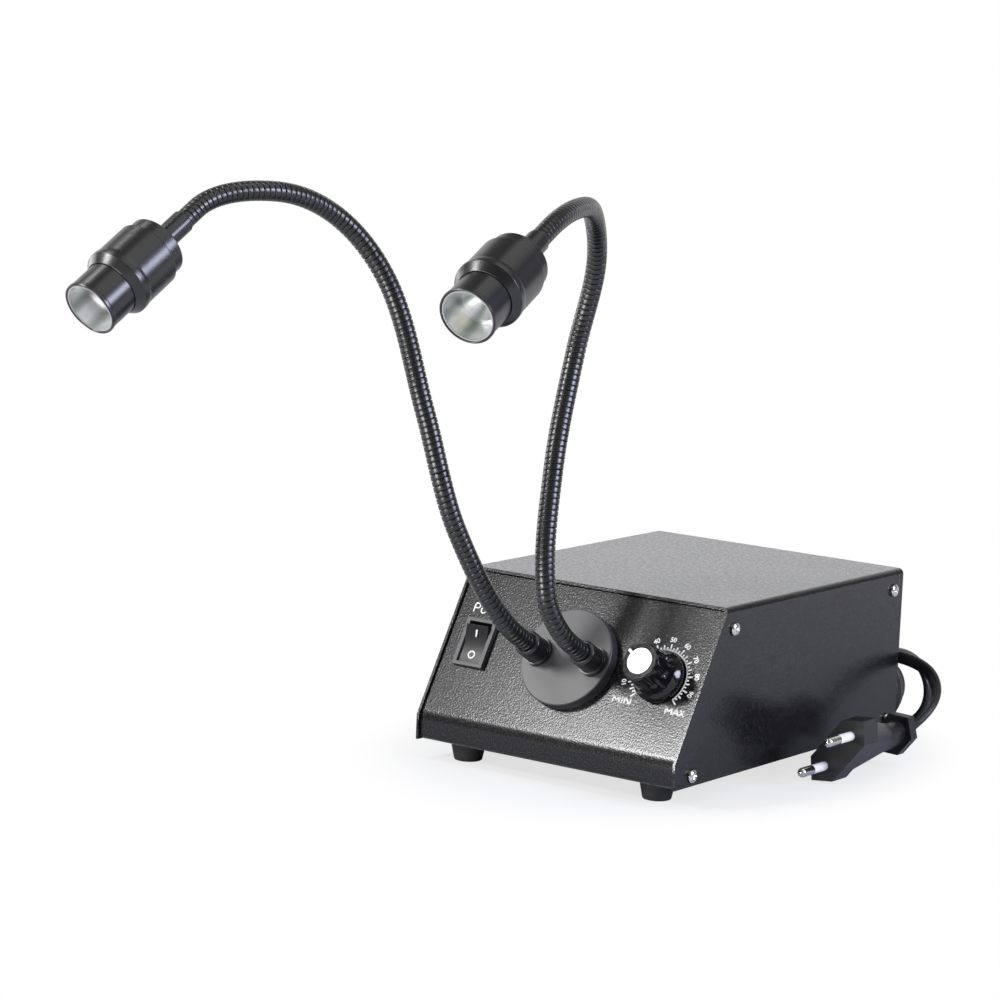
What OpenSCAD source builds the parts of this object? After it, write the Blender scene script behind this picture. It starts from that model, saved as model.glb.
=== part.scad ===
// Dual gooseneck illuminator: a sheet steel lamp supply with two ribbed arms, a lamp head at the
// end of each arm, a rocker switch, a dimmer knob and a mains lead wound up behind the case.
// Millimetres. X runs across the control panel, the panel faces -Y, Z is up, the bench is z = 0.

/* [Case] */
// Width across the sides of the cover
case_w = 128; // [124:1:136]
// Depth from the front edge to the back edge of the cover
case_d = 172; // [166:1:184]
// Height of the case above its feet
case_h = 69; // [67:1:75]
// Height of the upright strip under the control panel
strip_h = 10.5; // [9.5:0.5:12]
// Slope of the control panel from level, in degrees
panel_angle = 60; // [58:1:63]
// Thickness of the sheet steel
sheet = 1.2; // [0.9:0.1:1.5]
// How far the control panel sits inside the front edge of the cover
panel_inset = 1.2; // [0.8:0.1:1.8]

/* [Feet] */
// Height of the rubber feet
foot_h = 8; // [7:0.5:10]
// Diameter of a foot where it meets the case
foot_d = 15; // [14:0.5:17]
// Diameter of a foot where it meets the bench
foot_tip_d = 11.6; // [11:0.2:13]
// Distance of each foot from the side of the case
foot_side = 17; // [14:1:22]
// Distance of each foot from the front or the back of the case
foot_end = 14; // [12:1:20]

/* [Control panel] */
// Height of the row of controls, measured up the panel from its lower fold
row_up = 34.5; // [32:0.5:36]
// Distance of the middle of the rocker switch from the side of the case
switch_side = 16; // [15:0.5:20]
// Distance of the middle of the dimmer knob from the side of the case
knob_side = 20.8; // [19:0.2:24]
// Diameter of the disc that carries the arms
disc_d = 42; // [40:1:46]
// Thickness of the disc
disc_t = 5.2; // [4:0.2:7]
// Distance of each arm from the middle of the disc
arm_x = 13.5; // [12:0.5:14]

/* [Dimmer knob] */
// Diameter of the skirt of the knob
skirt_d = 22; // [20:0.5:24]
// Diameter of the grip at its foot
grip_d = 17.6; // [16:0.2:18.4]
// Height of the top of the knob above the panel
knob_h = 18.3; // [16:0.1:22]
// Number of flutes round the grip
flutes = 8; // [6:1:12]
// Diameter of the bright cap in the top of the knob
cap_d = 11; // [9:0.5:12]
// Mark on the scale of 0 to 100 that the pointer stands at
knob_mark = 28; // [0:1:100]

/* [Rocker switch] */
// Width of the bezel
bezel_w = 15; // [14.6:0.1:16]
// Height of the bezel
bezel_h = 21; // [20.8:0.1:22]
// Tilt of the rocker to either side of level, in degrees
rocker_tilt = 11; // [9:0.5:12]

/* [Arms] */
// Diameter over the ribs of the hose
hose_d = 8; // [7.4:0.1:8.6]
// Diameter of the bore of the hose
hose_bore = 4.8; // [4.4:0.1:5.2]
// Depth of the groove between two ribs
groove = 0.5; // [0.3:0.05:0.6]
// Distance between two ribs
rib_pitch = 3.1; // [3:0.05:3.6]
// Height of the highest point of the arms above their ferrules
arm_rise = 180; // [172:1:188]
// Dip of the left lamp head below level, in degrees
left_dip = 33; // [27:0.5:39]
// Turn of the left lamp head to the right, in degrees
left_yaw = -3.5; // [-9:0.5:3]
// Dip of the right lamp head below level, in degrees
right_dip = 25.5; // [20:0.5:31]
// Turn of the right lamp head to the right, in degrees
right_yaw = 7.5; // [2:0.5:13]

/* [Lamp heads] */
// Diameter of the barrel
barrel_d = 27.2; // [26.4:0.1:28]
// Length of the barrel with the taper at its front
barrel_l = 22.2; // [20:0.1:24]
// Diameter of the rear cap
rear_cap_d = 24.4; // [23.4:0.1:25.2]
// Length of the rear cap
rear_cap_l = 6; // [5:0.5:8]
// Diameter of the snout
snout_d = 22.2; // [20.6:0.1:22.6]
// Length of the snout in front of the barrel
snout_l = 13.7; // [12.5:0.1:16]
// Diameter of the smooth neck behind the head
neck_d = 9.3; // [8.6:0.1:10]
// Length of the smooth neck
neck_l = 16; // [14:0.5:19]

/* [Mains lead] */
// Thickness of the lead
cord_d = 4.4; // [3.8:0.1:4.6]
// Length of the straight runs of the hank
hank_run = 68; // [60:1:74]
// Outer radius of the folds of the hank
hank_r = 17; // [16.8:0.1:18.4]
// Turn of the plug about its own length as it lies on the bench, in degrees
plug_roll = 51; // [44:1:56]

/* [Hidden] */

$fn = 64;
eps = 0.01;
// clearance of a shaft or spigot in its hole, on the radius
fit = 0.05;
// clearance of a fastener or a fixed spigot in its hole, on the radius
slip = 0.1;

// sheet metal
fold_r = 2 * sheet;
// the fold between the panel and the front strip is wide and soft
panel_fold_r = 10 * sheet;
fold_steps = 6;
side_gap = 0.3;
back_inset = 0.5;
top_gap = 0.3;
inner_w = case_w - 2 * sheet;
top_z = foot_h + case_h;
strip_z = foot_h + strip_h;
slope_run = (case_h - strip_h) / tan(panel_angle);
front_y = -case_d / 2;
back_y = case_d / 2 - back_inset;
panel_l = (case_h - strip_h) / sin(panel_angle);

// places of the controls across the panel
switch_x = case_w / 2 - switch_side;
knob_x = case_w / 2 - knob_side;

// cover screws: the upper front ear is placed in the frame of the panel
screw_d = 3;
screw_head_d = 5.4;
screw_head_h = 1.8;
screw_l = 6;
ear_down = 5.6;
ear_up = panel_l - ear_down;
ear_back = 7.2;
ear_w = 10;
ear_l = 14;
rear_screw_in = 8;
rear_screw_down = 8.6;
rear_screw_z = top_z - rear_screw_down;
low_screw_up = 4.3;
low_screw_z = foot_h + low_screw_up;
low_front_in = 12;
flange_h = 9;
flange_end = 6;

// feet
foot_hole_d = 3.2;
foot_recess_d = 7;
foot_recess_h = 4.5;
foot_screw_d = 3;
foot_head_d = 6;
foot_head_h = 2;

// rocker switch
bezel_t = 2.2;
bezel_side = 2;
rocker_w = bezel_w - 2 * bezel_side;
rocker_gap = 0.2;
rocker_half = 8;
rocker_mid = 1.2;
rocker_pivot = -2;
rocker_waist = 3.2;
rocker_low = -4.6;
rocker_edge = -1.4;
trunnion_d = 2;
trunnion_out = 0.7;
trunnion_l = rocker_w + 2 * trunnion_out;
switch_well_l = 18;
switch_wall = 0.7;
switch_end_wall = 0.6;
switch_depth = 13;
switch_floor = -7;
blade = [4.8, 0.8, 8];
blade_y = 4;

// ferrules and nuts
ferrule_d = 11;
ferrule_flange_d = 12.7;
ferrule_flange_h = 2;
ferrule_h = 10.5;
ferrule_edge = 1;
ferrule_shank_d = 9.5;
ferrule_tail = 8;
hose_seat = 5;
nut_af = 14;
nut_h = 4;
disc_edge = 0.4;

// dimmer
knob_gap = 0.8;
skirt_h = 2;
shoulder_d = 18.8;
shoulder_z = 5.5;
flute_z = 8.6;
grip_taper = 0.6;
grip_edge = 0.8;
flute_d = 4.4;
flute_out = 1;
knob_well_d = 14.4;
knob_well_h = 3.8;
cap_t = 0.6;
cap_sink = 0.5;
shaft_d = 6;
shaft_cover = 2.8;
bush_d = 7;
bush_out = 4.2;
pot_d = 17;
pot_h = 9;
pot_bore = 6.8;
pot_nut_af = 10;
pot_nut_h = 2;
scale_sweep = 265;
scale_top = 100;
knob_turn = scale_sweep * (1 / 2 - knob_mark / scale_top);

// supply inside the case
board = [96, 60, 1.6];
board_y = 22;
board_lift = 8;
standoff_d = 6;
standoff_in = 5;
core = [44, 36, 30];

// arms: where they pass, measured from the top of the ferrule, with the height as a share of the rise
left_route = [
    [-12, -33, 0.258], [-26, -39, 0.52], [-44, -41, 0.786], [-58, -56, 0.933], [-67, -86, 0.997]
];
left_end = [-79, -126, 0.937];
right_route = [
    [-4, -20, 0.139], [-11, -9, 0.41], [-16, 10, 0.662], [-9, 11, 0.842], [0, -4, 0.956], [11, -28, 0.997]
];
right_end = [21, -71, 0.94];
hose_straight = hose_d;
// middles of the three bends as shares of the hose, and the length of hose that each takes
bend_at = [0.16, 0.48, 0.82];
bend_l = 20;
route_steps = 12;
hose_sides = 8;
bore_ribs = 4;
spigot_play = 0.3;
spigot_d = hose_bore - 2 * spigot_play;
spigot_l = 5;
wire_d = 2.4;

// lamp heads, measured along the axis from the end of the hose
neck_tail_d = 6.6;
neck_tail_l = 4;
neck_edge = 0.5;
cap_edge = 0.6;
cap_wall = 1.6;
cap_spigot_d = rear_cap_d - 2 * cap_wall;
cap_spigot_l = 3;
seam = 0.3;
cap_z = neck_l;
barrel_z = cap_z + rear_cap_l;
barrel_end = barrel_z + barrel_l;
barrel_back = 0.5;
taper_l = 3.1;
taper_lip = 0.3;
lip_t = 0.4;
lip_l = 2;
snout_in = 6;
snout_wall = 0.6;
snout_z = barrel_end - snout_in;
rim_z = barrel_end + snout_l;
rim_edge = 0.3;
bead_t = 0.3;
bead_l = 1.6;
led_play = 0.2;
led_d = snout_d - 2 * snout_wall - 2 * led_play;
led_t = 1.6;
chip = [3.5, 3.5, 0.8];
dome_d = 3;
cup_t = 0.5;
cup_in_r = 3.5;
cup_lip = 0.4;
tube_l = 11;
tube_taper = 1;
ring_r = 7.8;
ring_t = 0.8;

// mains lead
gland_side = 14;
gland_x = gland_side - case_w / 2;
gland_z = 28;
gland_flange_d = 17;
gland_flange_h = 2;
gland_body_d = 12.6;
gland_body_l = 8;
gland_foot_d = 9;
gland_tip_d = 7.4;
gland_sleeve_l = 18;
hank_pitch = 5.1;
hank_layers = 4;
layer_turns = 1.5;
layer_pitch = 5.8;
climb = 0.26;
run_rings = 4;
fold_rings = 8;
loop_rings = 2 * (run_rings + fold_rings);
hank_turns = hank_layers * layer_turns;
hank_in = hank_r - hank_pitch * layer_turns;
hank_mid = (hank_r + hank_in) / 2;
hank_lap = 2 * hank_run + 2 * PI * hank_mid;
hank_out = -2;
first_out = 9;
hank_lift = 0.5;
hank_gap = 4.5;
hank_x = case_w / 2 + hank_out - hank_run / 2 - hank_r - cord_d / 2;
hank_z = hank_r + cord_d / 2 + hank_lift;
hank_near = case_d / 2 + hank_gap;
hank_far = hank_near + (hank_layers - 1) * layer_pitch;
hank_sides = 6;
fine_steps = 96;
cord_sides = 10;

// plug: a flat two-pin plug lying on one edge
plug_out = 22;
plug_x = case_w / 2 + plug_out;
plug_y = 1;
plug_l = 54;
plug_tip = 18.2;
plug_shoulder = 11.2;
plug_half_t = 7;
plug_head_l = 11;
plug_step = 0.86;
waist_l = 36;
waist_end = 45;
waist = [6.6, 5.4];
collar_tip = 10.5;
collar_shoulder = 5;
collar_half_t = 7.4;
collar_l = 5;
collar_end = 0.62;
pin_gap = 18.6;
pin_l = 19;
pin_d = 4;
pin_root = 10;
sleeve_d = 3.8;
pin_core_d = 3;
pin_depth = 8;
plug_lift = 0.1;
plug_z = plug_lift + max(plug_tip * sin(plug_roll),
    plug_shoulder * sin(plug_roll) + plug_half_t * cos(plug_roll));

function unit(v) = v / norm(v);
function wrapped(a) = a - 360 * round(a / 360);

// Turns each inner corner of an open flat line through an arc
function arc_at(a, b, c, r) = let (
    d0 = unit(a - b),
    d1 = unit(c - b),
    half = acos(d0 * d1) / 2,
    m = b + unit(d0 + d1) * r / sin(half),
    s = b + d0 * r / tan(half) - m,
    e = b + d1 * r / tan(half) - m,
    from = atan2(s[1], s[0]),
    turn = wrapped(atan2(e[1], e[0]) - from)
) [for (k = [0:fold_steps]) m + r * [cos(from + turn * k / fold_steps), sin(from + turn * k / fold_steps)]];

function folded(p, r) = [
    for (i = [0:len(p) - 1])
        each (i == 0 || i == len(p) - 1) ? [p[i]] : arc_at(p[i - 1], p[i], p[i + 1], r[i - 1])
];

// Moves an open flat line to its left
function left_of(a, b) = let (d = unit(b - a)) [-d[1], d[0]];
function moved(p, t) = [
    for (i = [0:len(p) - 1])
        let (
            last = len(p) - 1,
            m = left_of(p[max(i - 1, 0)], p[max(i, 1)]) + left_of(p[min(i, last - 1)], p[min(i + 1, last)])
        ) p[i] + m * t * 2 / (m * m)
];
function backward(p) = [for (i = [len(p) - 1:-1:0]) p[i]];

// Outline of a folded sheet whose outer face follows a line, with a radius for each fold
function sheet_outline(p, r) =
    concat(folded(p, r), backward(folded(moved(p, sheet), [for (q = r) q - sheet])));

// Points along a smooth line through a list of places, with a given direction at each end
function dir_at(p, i, d0, d1) = i == 0 ? d0 : i == len(p) - 1 ? d1 : unit(p[i + 1] - p[i - 1]);
function curve(a, b, ta, tb, q) =
    (2 * q ^ 3 - 3 * q ^ 2 + 1) * a + (q ^ 3 - 2 * q ^ 2 + q) * ta
    + (3 * q ^ 2 - 2 * q ^ 3) * b + (q ^ 3 - q ^ 2) * tb;
function smooth_line(p, d0, d1, steps) = [
    for (i = [0:len(p) - 2])
        let (l = norm(p[i + 1] - p[i]))
            for (k = [0:steps - 1])
                curve(p[i], p[i + 1], l * dir_at(p, i, d0, d1), l * dir_at(p, i + 1, d0, d1), k / steps),
    p[len(p) - 1]
];
function lengths(p) = [
    for (i = 0, s = 0; i < len(p); s = s + (i + 1 < len(p) ? norm(p[i + 1] - p[i]) : 0), i = i + 1) s
];

// The middle line of an arm, from the seat in its ferrule to the end of its hose
panel_up = [0, cos(panel_angle), sin(panel_angle)];
panel_out = [0, -sin(panel_angle), cos(panel_angle)];
panel_foot = [0, front_y, strip_z] - panel_inset * panel_out;
function arm_side(side) = side < 0 ? -1 : 1;
function arm_top(side) = panel_foot + [arm_side(side) * arm_x, 0, 0] + row_up * panel_up
    + (disc_t + ferrule_h) * panel_out;
function head_turn(side) = side < 0 ? [90 + left_dip, 0, left_yaw] : [90 + right_dip, 0, right_yaw];
function aim(dip, yaw) = [sin(yaw) * cos(dip), -cos(yaw) * cos(dip), -sin(dip)];
function head_dir(side) = side < 0 ? aim(left_dip, left_yaw) : aim(right_dip, right_yaw);
function risen(v) = [v[0], v[1], v[2] * arm_rise];
function arm_end(side) = arm_top(side) + risen(side < 0 ? left_end : right_end);
function arm_line(side) = let (
    top = arm_top(side),
    end = arm_end(side),
    via = side < 0 ? left_route : right_route,
    bent = concat(
        [top + hose_straight * panel_out],
        [for (v = via) top + risen(v)],
        [end - hose_straight * head_dir(side)]
    )
) concat([top - hose_seat * panel_out], smooth_line(bent, panel_out, head_dir(side), route_steps), [end]);
left_line = arm_line(-1);
right_line = arm_line(1);
left_s = lengths(left_line);
right_s = lengths(right_line);
function arm_len(side) = side < 0 ? left_s[len(left_s) - 1] : right_s[len(right_s) - 1];
function arm_point(side, s) = let (
    p = side < 0 ? left_line : right_line,
    l = side < 0 ? left_s : right_s
) [for (k = [0:2]) lookup(s, [for (i = [0:len(p) - 1]) [l[i], p[i][k]]])];
function arm_dir(side, s) = let (a = max(s - 1, 0), b = min(s + 1, arm_len(side)))
    unit(arm_point(side, b) - arm_point(side, a));
// where each length of hose starts and stops
function arm_stop(side, i) = i == 0 ? 0 : i > 2 * len(bend_at) ? arm_len(side)
    : arm_len(side) * bend_at[floor((i - 1) / 2)] + (i % 2 == 1 ? -1 : 1) * bend_l / 2;

// The middle line of the hank, in turns from the middle of the top run
function hank_part(k) = let (a = hank_run / 2, arc = PI * hank_mid) lookup(k, [
    [0, 0],
    [run_rings / 2, a],
    [run_rings / 2 + fold_rings, a + arc],
    [3 * run_rings / 2 + fold_rings, 3 * a + arc],
    [3 * run_rings / 2 + 2 * fold_rings, 3 * a + 2 * arc],
    [loop_rings, hank_lap]
]);
function hank_rad(u) = hank_in + (hank_r - hank_in) * abs((u / layer_turns) % 2 - 1);
function eased(q) = let (c = min(max(q, 0), 1)) c * c * (3 - 2 * c);
function hank_y(u) = hank_far - layer_pitch
    * (eased((u - layer_turns) / climb + 0.5) + eased((u - 2 * layer_turns) / climb + 0.5)
    + eased((u - 3 * layer_turns) / climb + 0.5));
function hank_xz(q, r) = let (
    a = hank_run / 2,
    arc = PI * hank_mid,
    right = (q - a) / hank_mid * 180 / PI,
    left = (q - 3 * a - arc) / hank_mid * 180 / PI
) q < a ? [q, r]
    : q < a + arc ? [a + r * sin(right), r * cos(right)]
    : q < 3 * a + arc ? [2 * a + arc - q, -r]
    : q < 3 * a + 2 * arc ? [-a - r * sin(left), -r * cos(left)]
    : [q - 4 * a - 2 * arc, r];
// the first fold stands out past the others
function fold_out(u, x) = u < 1 / 2 ? first_out * eased(2 * x / hank_run) : 0;
function hank_at(u) = let (p = hank_xz((u - floor(u)) * hank_lap, hank_rad(u)))
    [hank_x + p[0] + fold_out(u, p[0]), hank_y(u), hank_z + p[1]];
function hank_u(i) = floor(i / loop_rings) + hank_part(i % loop_rings) / hank_lap;
hank_line = [for (i = [0:hank_turns * loop_rings]) hank_at(hank_u(i))];

// The free stretches of the lead
cord_start = [gland_x, back_y + gland_flange_h + gland_sleeve_l, gland_z];
hank_start = hank_line[0];
hank_stop = hank_line[len(hank_line) - 1];
plug_end = [plug_x, plug_y + plug_l, plug_z];
lead_in_via = [[-48, 113, 29.5], [-43, 118, 32], [-33, 119.5, 35], [-20, 116.5, 37], [-7, 111.5, 38]];
tail_via = [
    [44, 90.5, 36.7], [54, 91, 37.3], [63, 91.8, 37], [71, 92, 35.2], [77, 90.8, 32.6],
    [82, 87.3, 29], [85.5, 82, 25.2], [87, 76, 21.5], [86.8, 70, 18], [86.2, 64, 15.4]
];
lead_steps = 3;
lead_in_line = smooth_line(concat([cord_start, cord_start + [0, cord_d, 0]], lead_in_via,
    [hank_start - [cord_d, 0, 0], hank_start]), [0, 1, 0], [1, 0, 0], lead_steps);
tail_line = smooth_line(concat([hank_stop, hank_stop + [cord_d, 0, 0]], tail_via,
    [plug_end + [0, cord_d, 0], plug_end]), [1, 0, 0], [0, -1, 0], lead_steps);

// A ring of points about a place on a line
function ring(c, t, ref, r, n) = let (a = unit(ref - (ref * t) * t), b = cross(t, a))
    [for (k = [0:n - 1]) c + r * (cos(360 * k / n) * a + sin(360 * k / n) * b)];
// Triangles between rings that lie one after the other, seen from outside or from inside
function skin(from, rings, n) = [
    for (i = [0:rings - 2])
        for (k = [0:n - 1])
            let (a = from + i * n + k, b = from + i * n + (k + 1) % n)
                each [[a, a + n, b + n], [a, b + n, b]]
];
function lining(from, rings, n) = [for (f = skin(from, rings, n)) [f[0], f[2], f[1]]];

// A plain closed tube along a line, square to a given direction at each end
module cord_tube(p, d0, d1, r, n, ref) {
    last = len(p) - 1;
    points = [
        for (i = [0:last])
            each ring(p[i], i == 0 ? d0 : i == last ? d1 : unit(p[i + 1] - p[i - 1]), ref, r, n)
    ];
    ends = [for (k = [1:n - 2]) each [[0, k, k + 1], [last * n, last * n + k + 1, last * n + k]]];
    polyhedron(points, concat(skin(0, last + 1, n), ends));
}

// A length of ribbed hose with its bore, between two places on an arm
module hose(side, from, to) {
    n = hose_sides;
    ribs = max(round((to - from) / rib_pitch), 1);
    step = (to - from) / (2 * ribs);
    outer = [
        for (i = [0:2 * ribs])
            let (s = from + i * step, r = hose_d / 2 - (i % 2 == 0 ? groove : 0))
                each ring(arm_point(side, s), arm_dir(side, s), [1, 0, 0], r, n)
    ];
    spans = max(ceil(ribs / bore_ribs), 1);
    inner = [
        for (i = [0:spans])
            let (s = from + i * (to - from) / spans)
                each ring(arm_point(side, s), arm_dir(side, s), [1, 0, 0], hose_bore / 2, n)
    ];
    in0 = len(outer);
    out1 = in0 - n;
    in1 = in0 + spans * n;
    ends = [
        for (k = [0:n - 1])
            let (j = (k + 1) % n)
                each [
                    [k, j, in0 + j], [k, in0 + j, in0 + k],
                    [out1 + k, in1 + j, out1 + j], [out1 + k, in1 + k, in1 + j]
                ]
    ];
    polyhedron(concat(outer, inner), concat(skin(0, 2 * ribs + 1, n), lining(in0, spans + 1, n), ends));
}

module hose_part(side, i) {
    color("#1b1b1d") hose(side, arm_stop(side, i), arm_stop(side, i + 1));
}

module on_panel(x) {
    translate(panel_foot) rotate([panel_angle, 0, 0]) translate([x, row_up, 0]) children();
}

module on_head(side) {
    translate(arm_end(side)) rotate(head_turn(side)) children();
}

module at_feet(z) {
    for (x = [-1, 1], y = [-1, 1])
        translate([x * (case_w / 2 - foot_side), y * (case_d / 2 - foot_end), z]) children();
}

// Places of the cover screws on the right-hand side, as Y and Z
ear_at = panel_foot + ear_up * panel_up - ear_back * panel_out;
screw_at = [
    [ear_at[1], ear_at[2]],
    [case_d / 2 - rear_screw_in, rear_screw_z],
    [front_y + low_front_in, low_screw_z],
    [case_d / 2 - rear_screw_in, low_screw_z]
];

module at_screws() {
    for (side = [-1, 1], p = screw_at)
        translate([side * case_w / 2, p[0], p[1]]) rotate([0, side * 90, 0]) children();
}

// Folded tray: control panel, front strip, floor and back, with ears that take the cover screws
module case_chassis() {
    lean = panel_foot + (panel_l - sheet - top_gap) * panel_up;
    line = [
        [lean[1], lean[2]],
        [front_y + panel_inset, strip_z - panel_inset * cos(panel_angle) / (1 + sin(panel_angle))],
        [front_y + panel_inset, foot_h],
        [back_y, foot_h],
        [back_y, top_z - sheet - top_gap]
    ];
    color("#2c2c2e") difference() {
        union() {
            translate([-inner_w / 2 + side_gap, 0, 0]) rotate([90, 0, 90])
                linear_extrude(inner_w - 2 * side_gap)
                    polygon(sheet_outline(line, [panel_fold_r, fold_r, fold_r]));
            for (side = [-1, 1]) {
                edge = side < 0 ? -inner_w / 2 : inner_w / 2 - sheet;
                translate([edge, front_y + panel_inset + sheet / 2, foot_h + sheet / 2])
                    cube([sheet, case_d - panel_inset - back_inset - sheet, flange_h]);
                translate([edge, back_y - sheet / 2 - ear_l, rear_screw_z - ear_w / 2])
                    cube([sheet, ear_l, ear_w]);
                translate(panel_foot) rotate([panel_angle, 0, 0])
                    translate([edge, ear_up - ear_w / 2, -sheet / 2 - ear_l]) cube([sheet, ear_w, ear_l]);
            }
        }
        on_panel(-switch_x)
            cube([
                rocker_w + 2 * rocker_gap + 2 * switch_wall + 2 * slip,
                switch_well_l + 2 * switch_end_wall + 2 * slip, 4 * sheet
            ], center = true);
        for (x = [-arm_x, arm_x])
            on_panel(x) cylinder(d = ferrule_shank_d + 2 * slip, h = 4 * sheet, center = true);
        on_panel(knob_x) cylinder(d = bush_d + 2 * slip, h = 4 * sheet, center = true);
        at_feet(foot_h) cylinder(d = foot_hole_d, h = 4 * sheet, center = true);
        at_screws() translate([0, 0, -2 * sheet])
            cylinder(d = screw_d + 2 * slip, h = 4 * sheet, center = true);
        translate([gland_x, back_y, gland_z]) rotate([90, 0, 0])
            cylinder(d = gland_body_d + 2 * slip, h = 4 * sheet, center = true);
    }
}

// U-shaped cover: top and both sides in one folded sheet
module case_cover() {
    half = case_w / 2;
    line = [[half, foot_h], [half, top_z], [-half, top_z], [-half, foot_h]];
    reach = case_h;
    color("#3a3a3d") difference() {
        translate([0, case_d / 2, 0]) rotate([90, 0, 0])
            linear_extrude(case_d) polygon(sheet_outline(line, [fold_r, fold_r]));
        translate([-case_w, 0, 0]) rotate([90, 0, 90]) linear_extrude(2 * case_w)
            polygon([
                [front_y - reach, strip_z],
                [front_y, strip_z],
                [front_y + slope_run, top_z],
                [front_y + slope_run, top_z + reach],
                [front_y - reach, top_z + reach]
            ]);
        at_screws() cylinder(d = screw_d + 2 * slip, h = 4 * sheet, center = true);
    }
}

module cover_screws() {
    color("#d9d9dc") at_screws() {
        rotate_extrude()
            polygon([
                [0, 0], [screw_head_d / 2, 0], [screw_head_d / 2, screw_head_h / 2],
                [screw_head_d / 4, screw_head_h], [0, screw_head_h]
            ]);
        translate([0, 0, -screw_l]) cylinder(d = screw_d, h = screw_l + eps);
    }
}

module rubber_feet() {
    color("#1a1a1a") at_feet(0) difference() {
        cylinder(d1 = foot_tip_d, d2 = foot_d, h = foot_h);
        translate([0, 0, -eps]) cylinder(d = foot_recess_d, h = foot_recess_h + eps);
        cylinder(d = foot_hole_d, h = 2 * foot_h);
    }
}

module foot_screws() {
    color("#c8c8cc") at_feet(foot_recess_h) {
        translate([0, 0, -foot_head_h]) cylinder(d = foot_head_d, h = foot_head_h);
        translate([0, 0, -eps]) cylinder(d = foot_screw_d, h = foot_h - foot_recess_h + 3 * sheet);
    }
}

// Rocker switch: bezel and body in one moulding, with a well for the rocker
module switch_housing() {
    well_w = rocker_w + 2 * rocker_gap;
    color("#222225") on_panel(-switch_x) difference() {
        union() {
            translate([-bezel_w / 2, -bezel_h / 2, 0]) cube([bezel_w, bezel_h, bezel_t]);
            translate([-well_w / 2 - switch_wall, -switch_well_l / 2 - switch_end_wall, -switch_depth])
                cube([well_w + 2 * switch_wall, switch_well_l + 2 * switch_end_wall, switch_depth + eps]);
        }
        translate([-well_w / 2, -switch_well_l / 2, switch_floor])
            cube([well_w, switch_well_l, bezel_t - switch_floor + 1]);
        translate([0, 0, rocker_pivot]) rotate([0, 90, 0])
            cylinder(d = trunnion_d + 2 * fit, h = 2 * bezel_w, center = true);
    }
}

// Rocker with its trunnions, tipped so that its lower end is pressed in
module switch_rocker() {
    end = rocker_mid + rocker_half * tan(rocker_tilt);
    color("#151517") on_panel(-switch_x) translate([0, 0, rocker_pivot]) rotate([rocker_tilt, 0, 0]) {
        translate([-rocker_w / 2, 0, 0]) rotate([90, 0, 90]) linear_extrude(rocker_w)
            translate([0, -rocker_pivot]) polygon([
                [-rocker_half, end], [0, rocker_mid], [rocker_half, end], [rocker_half, rocker_edge],
                [rocker_waist, rocker_low], [-rocker_waist, rocker_low], [-rocker_half, rocker_edge]
            ]);
        rotate([0, 90, 0]) cylinder(d = trunnion_d, h = trunnion_l, center = true);
    }
}

module switch_terminals() {
    color("#c9b458") on_panel(-switch_x)
        for (y = [-blade_y, blade_y])
            translate([-blade[0] / 2, y - blade[1] / 2, -switch_depth - blade[2]]) cube(blade);
}

module arm_disc() {
    r = disc_d / 2;
    color("#6f6f70") on_panel(0) difference() {
        rotate_extrude()
            polygon([[0, 0], [r, 0], [r, disc_t - disc_edge], [r - disc_edge, disc_t], [0, disc_t]]);
        for (x = [-arm_x, arm_x])
            translate([x, 0, 0]) cylinder(d = ferrule_shank_d + 2 * slip, h = 4 * disc_t, center = true);
    }
}

// Turned ferrule: threaded shank, flange on the disc, and a socket for the end of the hose
module arm_ferrules() {
    top = disc_t + ferrule_h;
    for (x = [-arm_x, arm_x])
        color("#18181a") on_panel(x) rotate_extrude() polygon([
            [hose_bore / 2, -sheet - ferrule_tail],
            [ferrule_shank_d / 2, -sheet - ferrule_tail],
            [ferrule_shank_d / 2, disc_t],
            [ferrule_flange_d / 2, disc_t],
            [ferrule_flange_d / 2, disc_t + ferrule_flange_h],
            [ferrule_d / 2, disc_t + ferrule_flange_h],
            [ferrule_d / 2, top - ferrule_edge],
            [ferrule_d / 2 - ferrule_edge, top],
            [hose_d / 2 + 2 * slip, top],
            [hose_d / 2 + 2 * slip, top - hose_seat],
            [hose_bore / 2, top - hose_seat]
        ]);
}

module ferrule_nuts() {
    for (x = [-arm_x, arm_x])
        color("#b5b5b8") on_panel(x) translate([0, 0, -sheet - nut_h]) difference() {
            cylinder(d = nut_af / cos(30), h = nut_h, $fn = 6);
            translate([0, 0, -eps]) cylinder(d = ferrule_shank_d + 2 * slip, h = nut_h + 2 * eps);
        }
}

// Smooth neck between hose and head, with a spigot into each
module head_neck(side) {
    color("#1d1d1f") on_head(side) difference() {
        union() {
            translate([0, 0, -spigot_l]) cylinder(d = spigot_d, h = spigot_l + eps);
            cylinder(d1 = neck_d - 2 * neck_edge, d2 = neck_d, h = neck_edge);
            translate([0, 0, neck_edge]) cylinder(d = neck_d, h = neck_l - neck_edge);
            cylinder(d = neck_tail_d, h = neck_l + neck_tail_l);
        }
        translate([0, 0, -2 * spigot_l]) cylinder(d = wire_d, h = 2 * (neck_l + spigot_l));
    }
}

// Rear cap, a little smaller than the barrel that it screws into
module head_rear_cap(side) {
    r = rear_cap_d / 2;
    color("#1d1d1f") on_head(side) rotate_extrude() polygon([
        [neck_tail_d / 2 + slip, cap_z],
        [r - cap_edge, cap_z],
        [r, cap_z + cap_edge],
        [r, barrel_z - seam],
        [r - seam, barrel_z],
        [cap_spigot_d / 2, barrel_z],
        [cap_spigot_d / 2, barrel_z + cap_spigot_l],
        [neck_tail_d / 2 + slip, barrel_z + cap_spigot_l]
    ]);
}

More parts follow.
